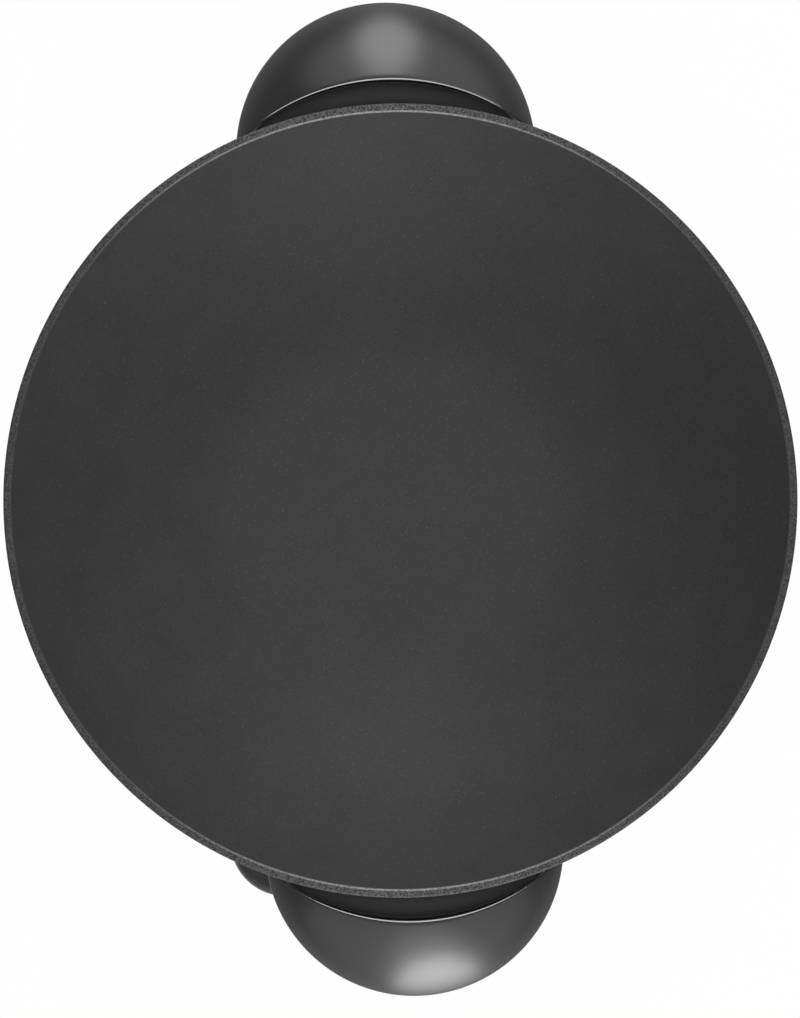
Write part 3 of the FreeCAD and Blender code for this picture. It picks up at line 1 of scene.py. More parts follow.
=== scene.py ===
"""An electric wok dressed for show: a speckled nonstick pan with moulded handles, its stand, and
the plug-in control with its dial and release lever, on a plain studio floor."""

import json
import math

import bmesh
import bpy
from mathutils import Matrix, Vector


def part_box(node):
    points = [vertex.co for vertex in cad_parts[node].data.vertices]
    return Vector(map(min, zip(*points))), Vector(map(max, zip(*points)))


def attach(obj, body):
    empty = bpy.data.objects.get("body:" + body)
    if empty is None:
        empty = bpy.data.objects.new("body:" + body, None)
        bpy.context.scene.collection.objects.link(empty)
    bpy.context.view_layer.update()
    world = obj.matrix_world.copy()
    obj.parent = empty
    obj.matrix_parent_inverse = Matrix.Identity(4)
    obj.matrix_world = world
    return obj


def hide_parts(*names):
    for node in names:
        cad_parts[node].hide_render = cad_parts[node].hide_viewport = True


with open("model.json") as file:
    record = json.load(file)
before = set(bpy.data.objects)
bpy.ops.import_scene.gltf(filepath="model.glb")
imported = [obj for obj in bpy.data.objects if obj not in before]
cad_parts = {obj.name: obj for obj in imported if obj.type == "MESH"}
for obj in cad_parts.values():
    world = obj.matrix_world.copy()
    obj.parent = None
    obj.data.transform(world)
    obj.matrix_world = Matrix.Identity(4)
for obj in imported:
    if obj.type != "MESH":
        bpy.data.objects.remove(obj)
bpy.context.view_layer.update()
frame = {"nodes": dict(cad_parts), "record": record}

bl_info = {
    "name": "Electric wok",
    "version": (1, 0, 0),
    "blender": (4, 5, 0),
    "location": "View3D > Sidebar > Wok",
    "description": "Dresses the packed electric wok and sets up its studio",
    "category": "Object",
}

MM = 0.001
RECORD = frame["record"]
BODY_OF = {node: body for body, nodes in RECORD["behaviour"]["bodies"].items() for node in nodes}
SLOT_OF = {part["node"]: part["material_slot"] for part in RECORD["subparts"]}
JOINTS = {joint["name"]: joint for joint in RECORD["behaviour"]["joints"]}
PAN_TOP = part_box("wok_pan")[1][2]
HANDLE_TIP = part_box("rear_handle_grip")[1][1]
UP = Vector((0, 0, 1))


def standing(x, y, z, place=Vector()):
    """The matrix that puts a thing at a place with its own axes along these three."""
    return Matrix.Translation(place) @ Matrix((x, y, z)).transposed().to_4x4()


# The control plugs in on a line turned from the front. Its own axes run across, inwards and up.
OUTWARD = Vector(JOINTS["control_pull"]["axis"])
ACROSS = Vector((-OUTWARD.y, OUTWARD.x, 0))
CONTROL = standing(ACROSS, -OUTWARD, UP)

CAP_RADIUS = 195 * MM  # the dial's top is crowned on a ball of this radius
RAISED = 0.1 * MM  # how far printed figures and marks stand off their surface
EDGE_LEAN = 0.095  # inward slope that turns the covers' polished edges to the overhead lamp


# ---------------------------------------------------------------- what a user may change


def length(name, about, millimetres):
    size = millimetres * MM
    return bpy.props.FloatProperty(name=name, description=about, default=size, unit="LENGTH")


def tint(name, about, shade):
    return bpy.props.FloatVectorProperty(
        name=name, description=about, default=shade, size=3, subtype="COLOR"
    )


class WokForm(bpy.types.PropertyGroup):
    """Sizes of the dressed pieces."""

    mouth_radius: length("Mouth radius", "Inside the rim", 178.45)
    floor_radius: length("Floor radius", "Flat cooking floor", 58)
    knee_radius: length("Knee radius", "Curve from the floor into the wall", 70)
    wall: length("Wall", "Casting's wall", 4.0)
    depth: length("Depth", "Rim to floor", 93)
    foot_inner: length("Foot ring inside", "Inner radius of the foot ring", 107)
    foot_outer: length("Foot ring outside", "Outer radius of the foot ring", 112)
    foot_level: length("Foot ring level", "Table to the foot ring", 66)
    ridge_inner: length("Ridge inside", "Inner radius of the element's ridge", 65.6)
    ridge_outer: length("Ridge outside", "Outer radius of the element's ridge", 84.4)
    ridge_drop: length("Ridge drop", "Cooking floor to the ridge's underside", 15.3)
    disc_drop: length("Disc drop", "Cooking floor to the underside within the ridge", 5.2)
    lobe_radius: length("Handle radius", "Round outline of a handle", 69.9)
    dome_radius: length("Dome radius", "Crown of a handle cover", 98)
    crown_drop: length("Crown drop", "Pan's rim to the recess wall's top", 8)
    recess_out: length("Recess place", "Handle's middle to the recess wall", 31.7)
    recess_radius: length("Recess radius", "Curve of the recess wall", 111.6)
    recess_edge: length("Recess edge", "Polished edge along the recess", 0.9)
    cover_edge: length("Cover edge", "Round at the cover's outer edge", 1.0)
    cover_wall: length("Cover wall", "Thickness of the cover", 2.6)
    edge_softness: length("Edge softness", "Bevel on moulded edges", 0.35)
    figure_height: length("Figure height", "Numbers on the dial", 4.2)
    figures_out: length("Figures' place", "Dial's axis to the numbers", 17)
    marks_out: length("Marks' place", "Dial's axis to the marks", 20.4)
    pointer_out: length("Pointer place", "Dial's axis to the housing's end wall", 26)
    pointer_level: length("Pointer level", "Table to the pointer's middle", 66.4)


class WokFinish(bpy.types.PropertyGroup):
    """Colours and gloss of the finishes."""

    coating: tint("Coating", "Nonstick coating", (0.036, 0.036, 0.036))
    speck: tint("Specks", "Flecks in the coating", (0.16, 0.16, 0.165))
    # Painted highlight: a light grey painted along the rim's inner edge towards the handles, in
    # place of the lamps' reflection.
    rim_edge: tint("Rim edge", "Thin coating along the rim's inner edge", (0.3, 0.3, 0.305))
    # Painted light: the rim's grain is painted lighter beside the handles, where the lamps fall on
    # it, than between them.
    rim_ends: tint("Rim ends", "Grain of the rim beside the handles", (0.114, 0.114, 0.114))
    rim_sides: tint("Rim sides", "Grain of the rim between the handles", (0.056, 0.056, 0.056))
    rim_pits: tint("Rim pits", "Dark grain of the rim", (0.010, 0.010, 0.010))
    gloss_black: tint("Gloss black", "Handle covers", (0.0185, 0.018, 0.0178))
    # Painted light: the recess wall is painted a lighter grey than the gloss black, standing in for
    # light that its shade keeps out.
    recess_wall: tint("Recess wall", "Matt wall of the covers' recess", (0.11, 0.11, 0.111))
    matt_black: tint("Matt black", "Frames, grips, stand and housing", (0.019, 0.019, 0.019))
    cover_roughness: bpy.props.FloatProperty(
        name="Cover roughness",
        description="Gloss of the handle covers",
        default=0.28,
        subtype="FACTOR",
    )


# ---------------------------------------------------------------- materials


class Val:
    """A number in a material, so that sums on it read as sums and become Math nodes."""

    def __init__(self, finish, socket):
        self.finish = finish
        self.socket = socket

    def _join(self, operation, *terms):
        inputs = dict(enumerate(terms))
        return self.finish.number("ShaderNodeMath", {"operation": operation}, inputs)

    def __add__(self, other):
        return self._join("ADD", self, other)

    __radd__ = __add__

    def __sub__(self, other):
        return self._join("SUBTRACT", self, other)

    def __rsub__(self, other):
        return self._join("SUBTRACT", other, self)

    def __mul__(self, other):
        return self._join("MULTIPLY", self, other)

    __rmul__ = __mul__

    def __truediv__(self, other):
        return self._join("DIVIDE", self, other)

    def __pow__(self, other):
        return self._join("POWER", self, other)

    def __abs__(self):
        return self._join("ABSOLUTE", self)

    def clipped(self):
        """Held between 0 and 1."""
        self.socket.node.use_clamp = True
        return self

    def rise(self, start, end):
        """0 below start, 1 above end, and straight between."""
        return ((self - start) / (end - start)).clipped()


class Finish:
    """One material: its Principled shader and whatever feeds it."""

    def __init__(self, name, **inputs):
        self.material = bpy.data.materials.new(name)
        self.material.use_nodes = True
        self.tree = self.material.node_tree
        self.shader = self.tree.nodes["Principled BSDF"]
        self.object_place = self.node("ShaderNodeTexCoord").outputs["Object"]
        self.set(**inputs)

    def feed(self, node, inputs):
        """Links or sets a node's inputs; a colour may come without its alpha."""
        for key, value in inputs.items():
            socket = node.inputs[key]
            source = value.socket if isinstance(value, Val) else value
            if isinstance(source, bpy.types.NodeSocket):
                self.tree.links.new(source, socket)
            elif socket.type == "RGBA":
                socket.default_value = (*value[:3], 1.0)
            else:
                socket.default_value = value

    def node(self, kind, settings=None, inputs=None):
        node = self.tree.nodes.new(kind)
        for setting, value in (settings or {}).items():
            setattr(node, setting, value)
        self.feed(node, inputs or {})
        return node

    def number(self, kind, settings=None, inputs=None, output=0):
        return Val(self, self.node(kind, settings, inputs).outputs[output])

    def set(self, **inputs):
        """Sets inputs of the shader, named with _ for a space."""
        self.feed(self.shader, {key.replace("_", " "): value for key, value in inputs.items()})

    def axis(self, which, place=None):
        split = self.node("ShaderNodeSeparateXYZ", None, {"Vector": place or self.object_place})
        return Val(self, split.outputs[which])

    def placed(self, scale=(1, 1, 1), location=(0, 0, 0)):
        inputs = {"Vector": self.object_place, "Location": location, "Scale": scale}
        return self.node("ShaderNodeMapping", None, inputs).outputs["Vector"]

    def from_axis(self):
        """Distance from the upright axis."""
        x, y = self.axis(0), self.axis(1)
        return (x * x + y * y) ** 0.5

    def past_recess(self, shape):
        """Distance out from the recess wall's line, on either handle."""
        middle = HANDLE_TIP - shape.lobe_radius + shape.recess_out - shape.recess_radius
        x, along = self.axis(0), abs(self.axis(1)) - middle
        return (x * x + along * along) ** 0.5 - shape.recess_radius

    def facing_side(self):
        """1 where the surface stands upright, 0 where it has turned more than a few degrees."""
        normal = self.axis(2, self.node("ShaderNodeTexCoord").outputs["Normal"])
        return 1 - abs(normal).rise(0.04, 0.12)

    def noise(self, size, detail=2.0, roughness=0.5, place=None):
        """Noise whose features are about that size, in metres."""
        inputs = {"Vector": place or self.object_place, "Scale": 1 / size}
        inputs.update(Detail=detail, Roughness=roughness)
        return self.number("ShaderNodeTexNoise", None, inputs)

    def cells(self, size, place=None, randomness=1.0):
        """Distance to the nearest of scattered points about that far apart, in cells."""
        inputs = {"Vector": place or self.object_place, "Scale": 1 / size, "Randomness": randomness}
        return self.number("ShaderNodeTexVoronoi", None, inputs, "Distance")

    def blend(self, share, first, second):
        """A colour between two."""
        mix = self.node("ShaderNodeMix", {"data_type": "RGBA"}, {0: share, 6: first, 7: second})
        return mix.outputs[2]

    def bumped(self, height, distance, strength=1.0):
        """Gives the surface a fine relief, distance deep."""
        inputs = {"Height": height, "Distance": distance, "Strength": strength}
        bump = self.node("ShaderNodeBump", None, inputs)
        self.set(Normal=bump.outputs["Normal"])


def shaded(colour, share):
    return [share * part for part in colour]


def coating_finish(name, shape, finish, rim):
    """Dark nonstick coating with fine flecks; it lies thinner and greyer over the rim, whose grain
    is painted lighter towards the handles and whose inner edge carries a painted highlight there.
    """
    made = Finish(name, IOR=1.38)
    fine = made.cells(1.1 * MM)
    finer = made.cells(0.7 * MM, made.placed(location=(0.013, 0.007, 0.021)))
    cloud = made.noise(26 * MM, 3.0)
    pick = made.noise(2.2 * MM, 1.0)
    flecks = ((0.24 - fine) * 9.0).clipped() * pick.rise(0.44, 0.6)
    dust = ((0.20 - finer) * 9.0).clipped() * 0.4
    dark, light = shaded(finish.coating, 0.93), shaded(finish.coating, 1.08)
    base = made.blend(cloud.rise(0.3, 0.7), dark, light)
    colour = made.blend((flecks * 0.55 + dust * 0.4).clipped(), base, finish.speck)
    roughness = 0.6 + 0.08 * (cloud - 0.5) + flecks * 0.05
    if rim:
        out = made.from_axis()
        on_top = made.axis(2).rise(PAN_TOP - 1.4 * MM, PAN_TOP - 0.8 * MM)
        mouth = shape.mouth_radius
        band = out.rise(mouth + 0.3 * MM, mouth + 0.6 * MM) * on_top
        # Painted light: the rim's grain is lighter towards the handles, where the lamps stand.
        ends = (abs(made.axis(1)) / out) ** 5
        # Painted highlight on the rim's inner round, fading out between the handles; the round is
        # also made glossier.
        edge = out.rise(mouth - 0.5 * MM, mouth - 0.2 * MM) * on_top * (1 - band) * ends
        grit = made.noise(0.8 * MM, 4.0, 0.75)
        grain_lit_at_ends = made.blend(ends, finish.rim_sides, finish.rim_ends)
        grain = made.blend(grit.rise(0.42, 0.58), finish.rim_pits, grain_lit_at_ends)
        colour = made.blend(band, colour, grain)
        colour = made.blend(edge * grit.rise(0.3, 0.55), colour, finish.rim_edge)
        roughness = roughness - edge * 0.2
    made.set(Base_Color=colour, Roughness=roughness)
    made.bumped(fine * 0.4 + made.noise(0.45 * MM, 2.0), 0.05 * MM, 0.5)
    return made.material


def moulded_finish(name, colour, roughness, grain, depth, recess=None):
    """Moulded plastic: an even colour with a faint drift, and a grain pressed from the mould.

    Given the wok's sizes as recess, it is painted lighter at the foot of the recess wall,
    as painted light that lifts the shade there.
    gathers."""
    made = Finish(name, IOR=1.5)
    drift = made.noise(40 * MM, 2.0)
    texture = made.noise(grain, 3.0, 0.6)
    even = made.blend(drift.rise(0.3, 0.7), shaded(colour, 0.94), shaded(colour, 1.06))
    if recess:
        # Painted light: lighter towards the foot of the recess wall, to lift the shade there.
        fill_light_by_wall = made.past_recess(recess).rise(-9 * MM, 0)
        even = made.blend(fill_light_by_wall, even, shaded(colour, 2.4))
    made.set(
        Base_Color=even,
        Roughness=roughness + 0.05 * (texture - 0.5) + 0.04 * (drift - 0.5),
    )
    made.bumped(texture, depth)
    return made.material


def gloss_finish(name, shape, finish):
    """Polished black plastic, brightest along the recess's edge and matt down the recess wall.

    The recess wall is painted a lighter grey, as painted light for its shade.
    """
    made = Finish(name, IOR=1.6, Coat_Roughness=0.08, Coat_IOR=1.9)
    off_line = abs(made.past_recess(shape))
    wall = (1 - off_line / (0.3 * MM)).clipped() * made.facing_side()
    edge = (2.0 - off_line / (0.5 * shape.recess_edge)).clipped() * (1 - wall)
    drift = made.noise(30 * MM, 1.0)
    black = made.blend(drift, shaded(finish.gloss_black, 0.94), shaded(finish.gloss_black, 1.07))
    # The recess wall gets a lighter painted grey as fill light.
    made.set(
        Base_Color=made.blend(wall, black, finish.recess_wall),
        Roughness=(finish.cover_roughness + 0.03 * (drift - 0.5)) * (1 - edge * 0.5) + wall * 0.5,
        Coat_Weight=edge,
    )
    return made.material


def metal_finish(name, colour, roughness, scale):
    """Drawn or rolled metal with fine lines along one way."""
    made = Finish(name, Metallic=1.0)
    lines = made.noise(0.5 * MM, 2.0, 0.5, made.placed(scale))
    patches = made.noise(12 * MM, 2.0)
    made.set(
        Base_Color=made.blend(patches, shaded(colour, 0.88), colour),
        Roughness=roughness + 0.12 * (lines - 0.5) + 0.06 * (patches - 0.5),
    )
    made.bumped(lines, 0.02 * MM, 0.5)
    return made.material


def spun_finish(name, colour, roughness):
    """Sheet metal turned on a lathe: rings about the upright axis."""
    made = Finish(name, Metallic=1.0)
    rings_per_metre = 1400.0
    inputs = {"W": made.from_axis(), "Scale": rings_per_metre, "Detail": 3.0}
    rings = made.number("ShaderNodeTexNoise", {"noise_dimensions": "1D"}, inputs)
    stains = made.noise(30 * MM, 4.0)
    made.set(
        Base_Color=made.blend(stains.rise(0.35, 0.7), shaded(colour, 0.9), colour),
        Roughness=roughness + 0.12 * (rings - 0.5) + 0.1 * (stains - 0.5),
    )
    made.bumped(rings, 0.02 * MM, 0.6)
    return made.material


def rubber_finish(name, colour):
    """Black rubber, chalky in places, with a fine skin."""
    made = Finish(name, IOR=1.5)
    chalk = made.noise(14 * MM, 4.0)
    made.set(
        Base_Color=made.blend(chalk.rise(0.4, 0.75), colour, shaded(colour, 1.7)),
        Roughness=0.72 + 0.1 * (chalk - 0.5),
    )
    made.bumped(made.noise(0.5 * MM, 3.0), 0.04 * MM, 0.8)
    return made.material


def fired_finish(name, colour):
    """Fired ceramic with small pores."""
    made = Finish(name, IOR=1.6)
    pores = made.cells(0.6 * MM)
    clouds = made.noise(5 * MM, 2.0)
    made.set(
        Base_Color=made.blend(clouds, shaded(colour, 0.92), colour),
        Roughness=0.42 + 0.1 * (clouds - 0.5),
    )
    made.bumped(pores, 0.03 * MM, 0.5)
    return made.material


def lens_finish(name, colour):
    """A clear red lamp cover with a pressed pattern of small facets."""
    made = Finish(name, Transmission_Weight=0.6, IOR=1.49)
    facets = made.cells(1.3 * MM, randomness=0.25)
    made.set(
        Base_Color=made.blend(facets, shaded(colour, 1.2), shaded(colour, 0.7)),
        Roughness=0.14 + 0.06 * facets,
    )
    made.bumped(facets, 0.15 * MM, 0.7)
    return made.material


MATERIALS = {}


def make_materials():
    """Fills the table of finishes: a colour, a roughness, then a grain's size and depth or way."""
    shape, finish = bpy.context.scene.wok_form, bpy.context.scene.wok_finish
    matt = tuple(finish.matt_black)
    MATERIALS.update(
        pan=coating_finish("pan_coating", shape, finish, True),
        casting=coating_finish("casting_coating", shape, finish, False),
        cover=gloss_finish("cover_gloss", shape, finish),
        frame=moulded_finish("frame_matt", (0.026, 0.026, 0.026), 0.78, 0.5 * MM, 0.03 * MM, shape),
        grip=moulded_finish("grip_matt", matt, 0.6, 0.7 * MM, 0.05 * MM),
        stand=moulded_finish("stand_matt", matt, 0.5, 0.6 * MM, 0.04 * MM),
        housing=moulded_finish("housing_matt", matt, 0.48, 0.5 * MM, 0.03 * MM),
        trigger=moulded_finish("trigger_matt", shaded(matt, 1.4), 0.45, 0.5 * MM, 0.03 * MM),
        dial=moulded_finish("dial_satin", (0.016, 0.016, 0.0165), 0.36, 0.4 * MM, 0.01 * MM),
        nose=moulded_finish("nose_resin", (0.045, 0.026, 0.016), 0.45, 0.8 * MM, 0.03 * MM),
        figures=moulded_finish("figure_white", (0.72, 0.72, 0.70), 0.5, 0.3 * MM, 0.005 * MM),
        steel=metal_finish("bright_steel", (0.60, 0.60, 0.61), 0.28, (1, 0.05, 1)),
        screw=metal_finish("screw_steel", (0.52, 0.52, 0.53), 0.34, (1, 1, 0.1)),
        sheath=metal_finish("sheath_steel", (0.36, 0.35, 0.34), 0.42, (1, 1, 1)),
        brass=metal_finish("contact_brass", (0.72, 0.55, 0.28), 0.26, (1, 0.05, 1)),
        shield=spun_finish("shield_aluminium", (0.72, 0.72, 0.73), 0.32),
        rubber=rubber_finish("seat_rubber", (0.028, 0.028, 0.028)),
        ceramic=fired_finish("insulator_ceramic", (0.84, 0.82, 0.77)),
        lens=lens_finish("lamp_red", (0.55, 0.02, 0.012)),
    )


# ---------------------------------------------------------------- shapes


def finished(bm, name, body, material, slot, smooth_angle=35.0, soft=0.0, segments=2):
    """Turns a bmesh into a smooth piece that rides on a body, with soft edges where asked."""
    mesh = bpy.data.meshes.new(name)
    bm.to_mesh(mesh)
    bm.free()
    for polygon in mesh.polygons:
        polygon.use_smooth = True
    mesh.set_sharp_from_angle(angle=math.radians(smooth_angle))
    mesh.materials.append(MATERIALS[material])
    piece = bpy.data.objects.new(name, mesh)
    bpy.context.scene.collection.objects.link(piece)
    if soft:
        bevel = piece.modifiers.new("soft_edges", "BEVEL")
        bevel.width = soft
        bevel.segments = segments
        bevel.limit_method = "ANGLE"
        bevel.angle_limit = math.radians(40)
        bevel.harden_normals = True
        bevel.use_clamp_overlap = True
    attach(piece, body)
    return piece


def arc(cx, cz, r, start, end, count):
    """Points on an arc in the r, z plane, angles in degrees from +r towards +z."""
    turns = [math.radians(start + (end - start) * i / count) for i in range(count + 1)]
    return [(cx + r * math.cos(t), cz + r * math.sin(t)) for t in turns]


def spun(profile, steps):
    """An r, z profile spun about the upright axis, on which it starts and ends."""
    bm = bmesh.new()
    verts = [bm.verts.new((r, 0, z)) for r, z in profile]
    edges = [bm.edges.new(pair) for pair in zip(verts, verts[1:])]
    circle = {"cent": (0, 0, 0), "axis": UP, "angle": 2 * math.pi, "steps": steps}
    bmesh.ops.spin(bm, geom=verts + edges, use_merge=True, **circle)
    bmesh.ops.remove_doubles(bm, verts=bm.verts, dist=1e-6)
    bmesh.ops.dissolve_degenerate(bm, edges=bm.edges, dist=1e-7)
    bmesh.ops.recalc_face_normals(bm, faces=bm.faces)
    return bm


def carried(node, material, soft=None):
    """A merged, smooth-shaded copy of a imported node, with soft edges."""
    if soft is None:
        soft = bpy.context.scene.wok_form.edge_softness
    bm = bmesh.new()
    bm.from_mesh(frame["nodes"][node].data)
    bmesh.ops.remove_doubles(bm, verts=bm.verts, dist=2e-6)
    bmesh.ops.dissolve_limit(bm, angle_limit=math.radians(0.4), verts=bm.verts, edges=bm.edges)
    piece = finished(bm, f"{node}_dressed", BODY_OF[node], material, SLOT_OF[node], soft=soft)
    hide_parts(node)
    return piece


# ---------------------------------------------------------------- operators


class WokOperator(bpy.types.Operator):
    """Shared settings of the steps below."""

    bl_options = {"REGISTER", "UNDO"}


class WOK_OT_materials(WokOperator):
    """Makes the finishes that the pieces share"""

    bl_idname = "wok.materials"
    bl_label = "Finishes"

    def execute(self, context):
        make_materials()
        return {"FINISHED"}


class WOK_OT_pan(WokOperator):
    """Spins the pan: bowl, rim, element ridge and foot ring in one profile"""

    bl_idname = "wok.pan"
    bl_label = "Pan"

    def execute(self, context):
        profile = self.profile(context.scene.wok_form)
        piece = finished(spun(profile, 256), "pan_bowl", "pan", "pan", "nonstick_pan", 40)
        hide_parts("wok_pan")
        return {"FINISHED"}

    def profile(self, form):
        """From the floor's middle up the wall, over the rim, down the outside and in below."""
        floor_r, floor = form.floor_radius, PAN_TOP - form.depth
        wall, knee, slope = form.wall, form.knee_radius, math.radians(30)
        knee_end = math.degrees(slope) - 90
        knee_r = floor_r + knee * math.sin(slope)
        knee_z = floor + knee * (1 - math.cos(slope))

        # The wall's arc carries on from the knee and reaches the mouth at the pan's top.
        run, rise = form.mouth_radius - knee_r, PAN_TOP - knee_z
        side = (run**2 + rise**2) / (2 * (rise * math.cos(slope) - run * math.sin(slope)))
        side_x, side_z = knee_r - side * math.sin(slope), knee_z + side * math.cos(slope)

        def at_height(past, z):
            """Radius where the wall's arc, grown by past, comes to a height."""
            return side_x + math.sqrt((side + past) ** 2 - (side_z - z) ** 2)

        def outside(r):
            """Height of the wall's outside at a radius."""
            return side_z - math.sqrt((side + wall) ** 2 - (r - side_x) ** 2)

        def degrees(r, z):
            """Where a point lies on the wall's arc."""
            return math.degrees(math.atan2(z - side_z, r - side_x))

        inner, outer = 0.9 * MM, 1.3 * MM  # rounds of the rim
        inner_z, outer_z = PAN_TOP - inner, PAN_TOP - outer
        inner_r, outer_r = at_height(inner, inner_z), at_height(wall - outer, outer_z)
        inner_end, outer_end = degrees(inner_r, inner_z), degrees(outer_r, outer_z)
        profile = [(0, floor), (floor_r * 0.5, floor)]
        profile += arc(floor_r, floor + knee, knee, -90, knee_end, 16)
        profile += arc(side_x, side_z, side, knee_end, inner_end, 56)[1:]
        profile += arc(inner_r, inner_z, inner, 180 + inner_end, 90, 6)[1:]
        profile += arc(outer_r, outer_z, outer, 90, outer_end, 8)

        foot_in, foot_out, foot_z = form.foot_inner, form.foot_outer, form.foot_level
        spread, drop = 1.5 * MM, 1.2 * MM  # the foot ring's fillet on the wall
        edge = 0.5 * MM  # and its cut corners
        above, below = foot_out + spread, foot_in - spread
        foot_start, foot_end = degrees(above, outside(above)), degrees(below, outside(below))
        profile += arc(side_x, side_z, side + wall, outer_end, foot_start, 48)[1:]
        profile += [(foot_out, outside(foot_out) - drop), (foot_out, foot_z + edge)]
        profile += [(foot_out - edge, foot_z), (foot_in + edge, foot_z)]
        profile += [(foot_in, foot_z + edge), (foot_in, outside(foot_in) - drop)]
        profile += arc(side_x, side_z, side + wall, foot_end, knee_end, 8)

        ridge_in, ridge_out, ridge_z = form.ridge_inner, form.ridge_outer, floor - form.ridge_drop
        disc_z = floor - form.disc_drop
        root_z = floor + knee - math.sqrt((knee + wall) ** 2 - (ridge_out - floor_r) ** 2)
        draft, edge = 1.8 * MM, 0.8 * MM  # the ridge narrows downwards, and its corners are cut
        profile += [(ridge_out + 1.5 * MM, root_z - 0.2 * MM), (ridge_out, root_z - 1.6 * MM)]
        profile += [(ridge_out - draft, ridge_z + edge), (ridge_out - draft - edge, ridge_z)]
        profile += [(ridge_in + draft + edge, ridge_z), (ridge_in + draft, ridge_z + edge)]
        profile += [(ridge_in, disc_z - 1.2 * MM), (ridge_in - 1.6 * MM, disc_z), (0, disc_z)]
        return profile


def oblong(half_width, near, far):
    """The corners of an oblong about the y axis."""
    return [(-half_width, near), (half_width, near), (half_width, far), (-half_width, far)]


def block(outline, low, high, matrix=None):
    """An outline extruded upwards."""
    bm = bmesh.new()
    face = bm.faces.new([bm.verts.new((x, y, low)) for x, y in outline])
    raised = bmesh.ops.extrude_face_region(bm, geom=[face])["geom"]
    top = [item for item in raised if isinstance(item, bmesh.types.BMVert)]
    bmesh.ops.translate(bm, vec=(0, 0, high - low), verts=top)
    if matrix is not None:
        bmesh.ops.transform(bm, matrix=matrix, verts=bm.verts)
    bmesh.ops.recalc_face_normals(bm, faces=bm.faces)
    return bm


def cut_off(bm, point, normal):
    """Takes away what lies on the normal's side of a plane, and closes the cut."""
    everything = bm.verts[:] + bm.edges[:] + bm.faces[:]
    made = bmesh.ops.bisect_plane(
        bm, geom=everything, plane_co=point, plane_no=normal, clear_outer=True
    )
    edges = [item for item in made["geom_cut"] if isinstance(item, bmesh.types.BMEdge)]
    bmesh.ops.holes_fill(bm, edges=edges)
    bmesh.ops.recalc_face_normals(bm, faces=bm.faces)


def lofted(sections):
    """Closed loops of points joined one to the next, with both ends capped."""
    bm = bmesh.new()
    loops = []
    for section in sections:
        verts = [bm.verts.new(point) for point in section]
        loops.append([bm.edges.new(pair) for pair in zip(verts, verts[1:] + verts[:1])])
    for first, second in zip(loops, loops[1:]):
        bmesh.ops.bridge_loops(bm, edges=first + second)
    for loop in (loops[0], loops[-1]):
        bmesh.ops.holes_fill(bm, edges=loop)
    bmesh.ops.remove_doubles(bm, verts=bm.verts, dist=1e-6)
    bmesh.ops.dissolve_degenerate(bm, edges=bm.edges, dist=1e-7)
    bmesh.ops.recalc_face_normals(bm, faces=bm.faces)
    return bm


class WOK_OT_castings(WokOperator):
    """Adds the socket boss, the sensor's rib and the two handle lugs under the pan"""

    bl_idname = "wok.castings"
    bl_label = "Boss and lugs"

    def execute(self, context):
        self.boss_and_rib()
        for end, side in (("front", -1), ("rear", 1)):
            self.lug(end, side)
        return {"FINISHED"}

    def boss_and_rib(self):
        """Placed on the control's line, with the pan's middle at 0 and the control towards -y."""
        face, back = -104 * MM, -82 * MM
        low, high = 42 * MM, 76.5 * MM
        roof_at_face, roof_at_back = 75.5 * MM, 64.6 * MM
        boss = block(oblong(28 * MM, face, back), low, high)
        roof = Vector((0, roof_at_face - roof_at_back, back - face)).normalized()
        cut_off(boss, (0, back, roof_at_back), roof)
        bmesh.ops.transform(boss, matrix=CONTROL, verts=boss.verts)
        finished(boss, "pan_boss", "pan", "casting", "nonstick_pan", soft=0.8 * MM, segments=3)
        rib = block(oblong(8 * MM, -103.5 * MM, -42 * MM), 46.7 * MM, 61.5 * MM, CONTROL)
        finished(rib, "pan_rib", "pan", "casting", "nonstick_pan", soft=0.8 * MM, segments=3)

    def lug(self, end, side):
        """A round-cornered tongue on the pan's wall that carries a handle."""
        half_width, root, tip, corner = 30 * MM, 150 * MM, 186 * MM, 10 * MM
        low, high = 108 * MM, 116 * MM
        x, y = half_width - corner, tip - corner
        turns = (0, 0.4, 0.8, 1.2, math.pi / 2)
        half = [(x + corner * math.sin(turn), y + corner * math.cos(turn)) for turn in turns]
        half.append((half_width, root))
        outline = [(-x, side * y) for x, y in reversed(half)] + [(x, side * y) for x, y in half]
        lug = block(outline, low, high)
        finished(lug, f"pan_lug_{end}", "pan", "casting", "nonstick_pan", soft=0.6 * MM)


class WOK_OT_element(WokOperator):
    """Dresses the cast-in element, its pins and insulators and the socket guard"""

    bl_idname = "wok.element"
    bl_label = "Element and socket"

    def execute(self, context):
        carried("heating_element", "sheath", 0.0)
        carried("terminal_pins", "steel", 0.0)
        carried("pin_insulators", "ceramic", 0.3 * MM)
        carried("socket_guard", "steel", 0.3 * MM)
        carried("guard_screws", "screw", 0.15 * MM)
        return {"FINISHED"}


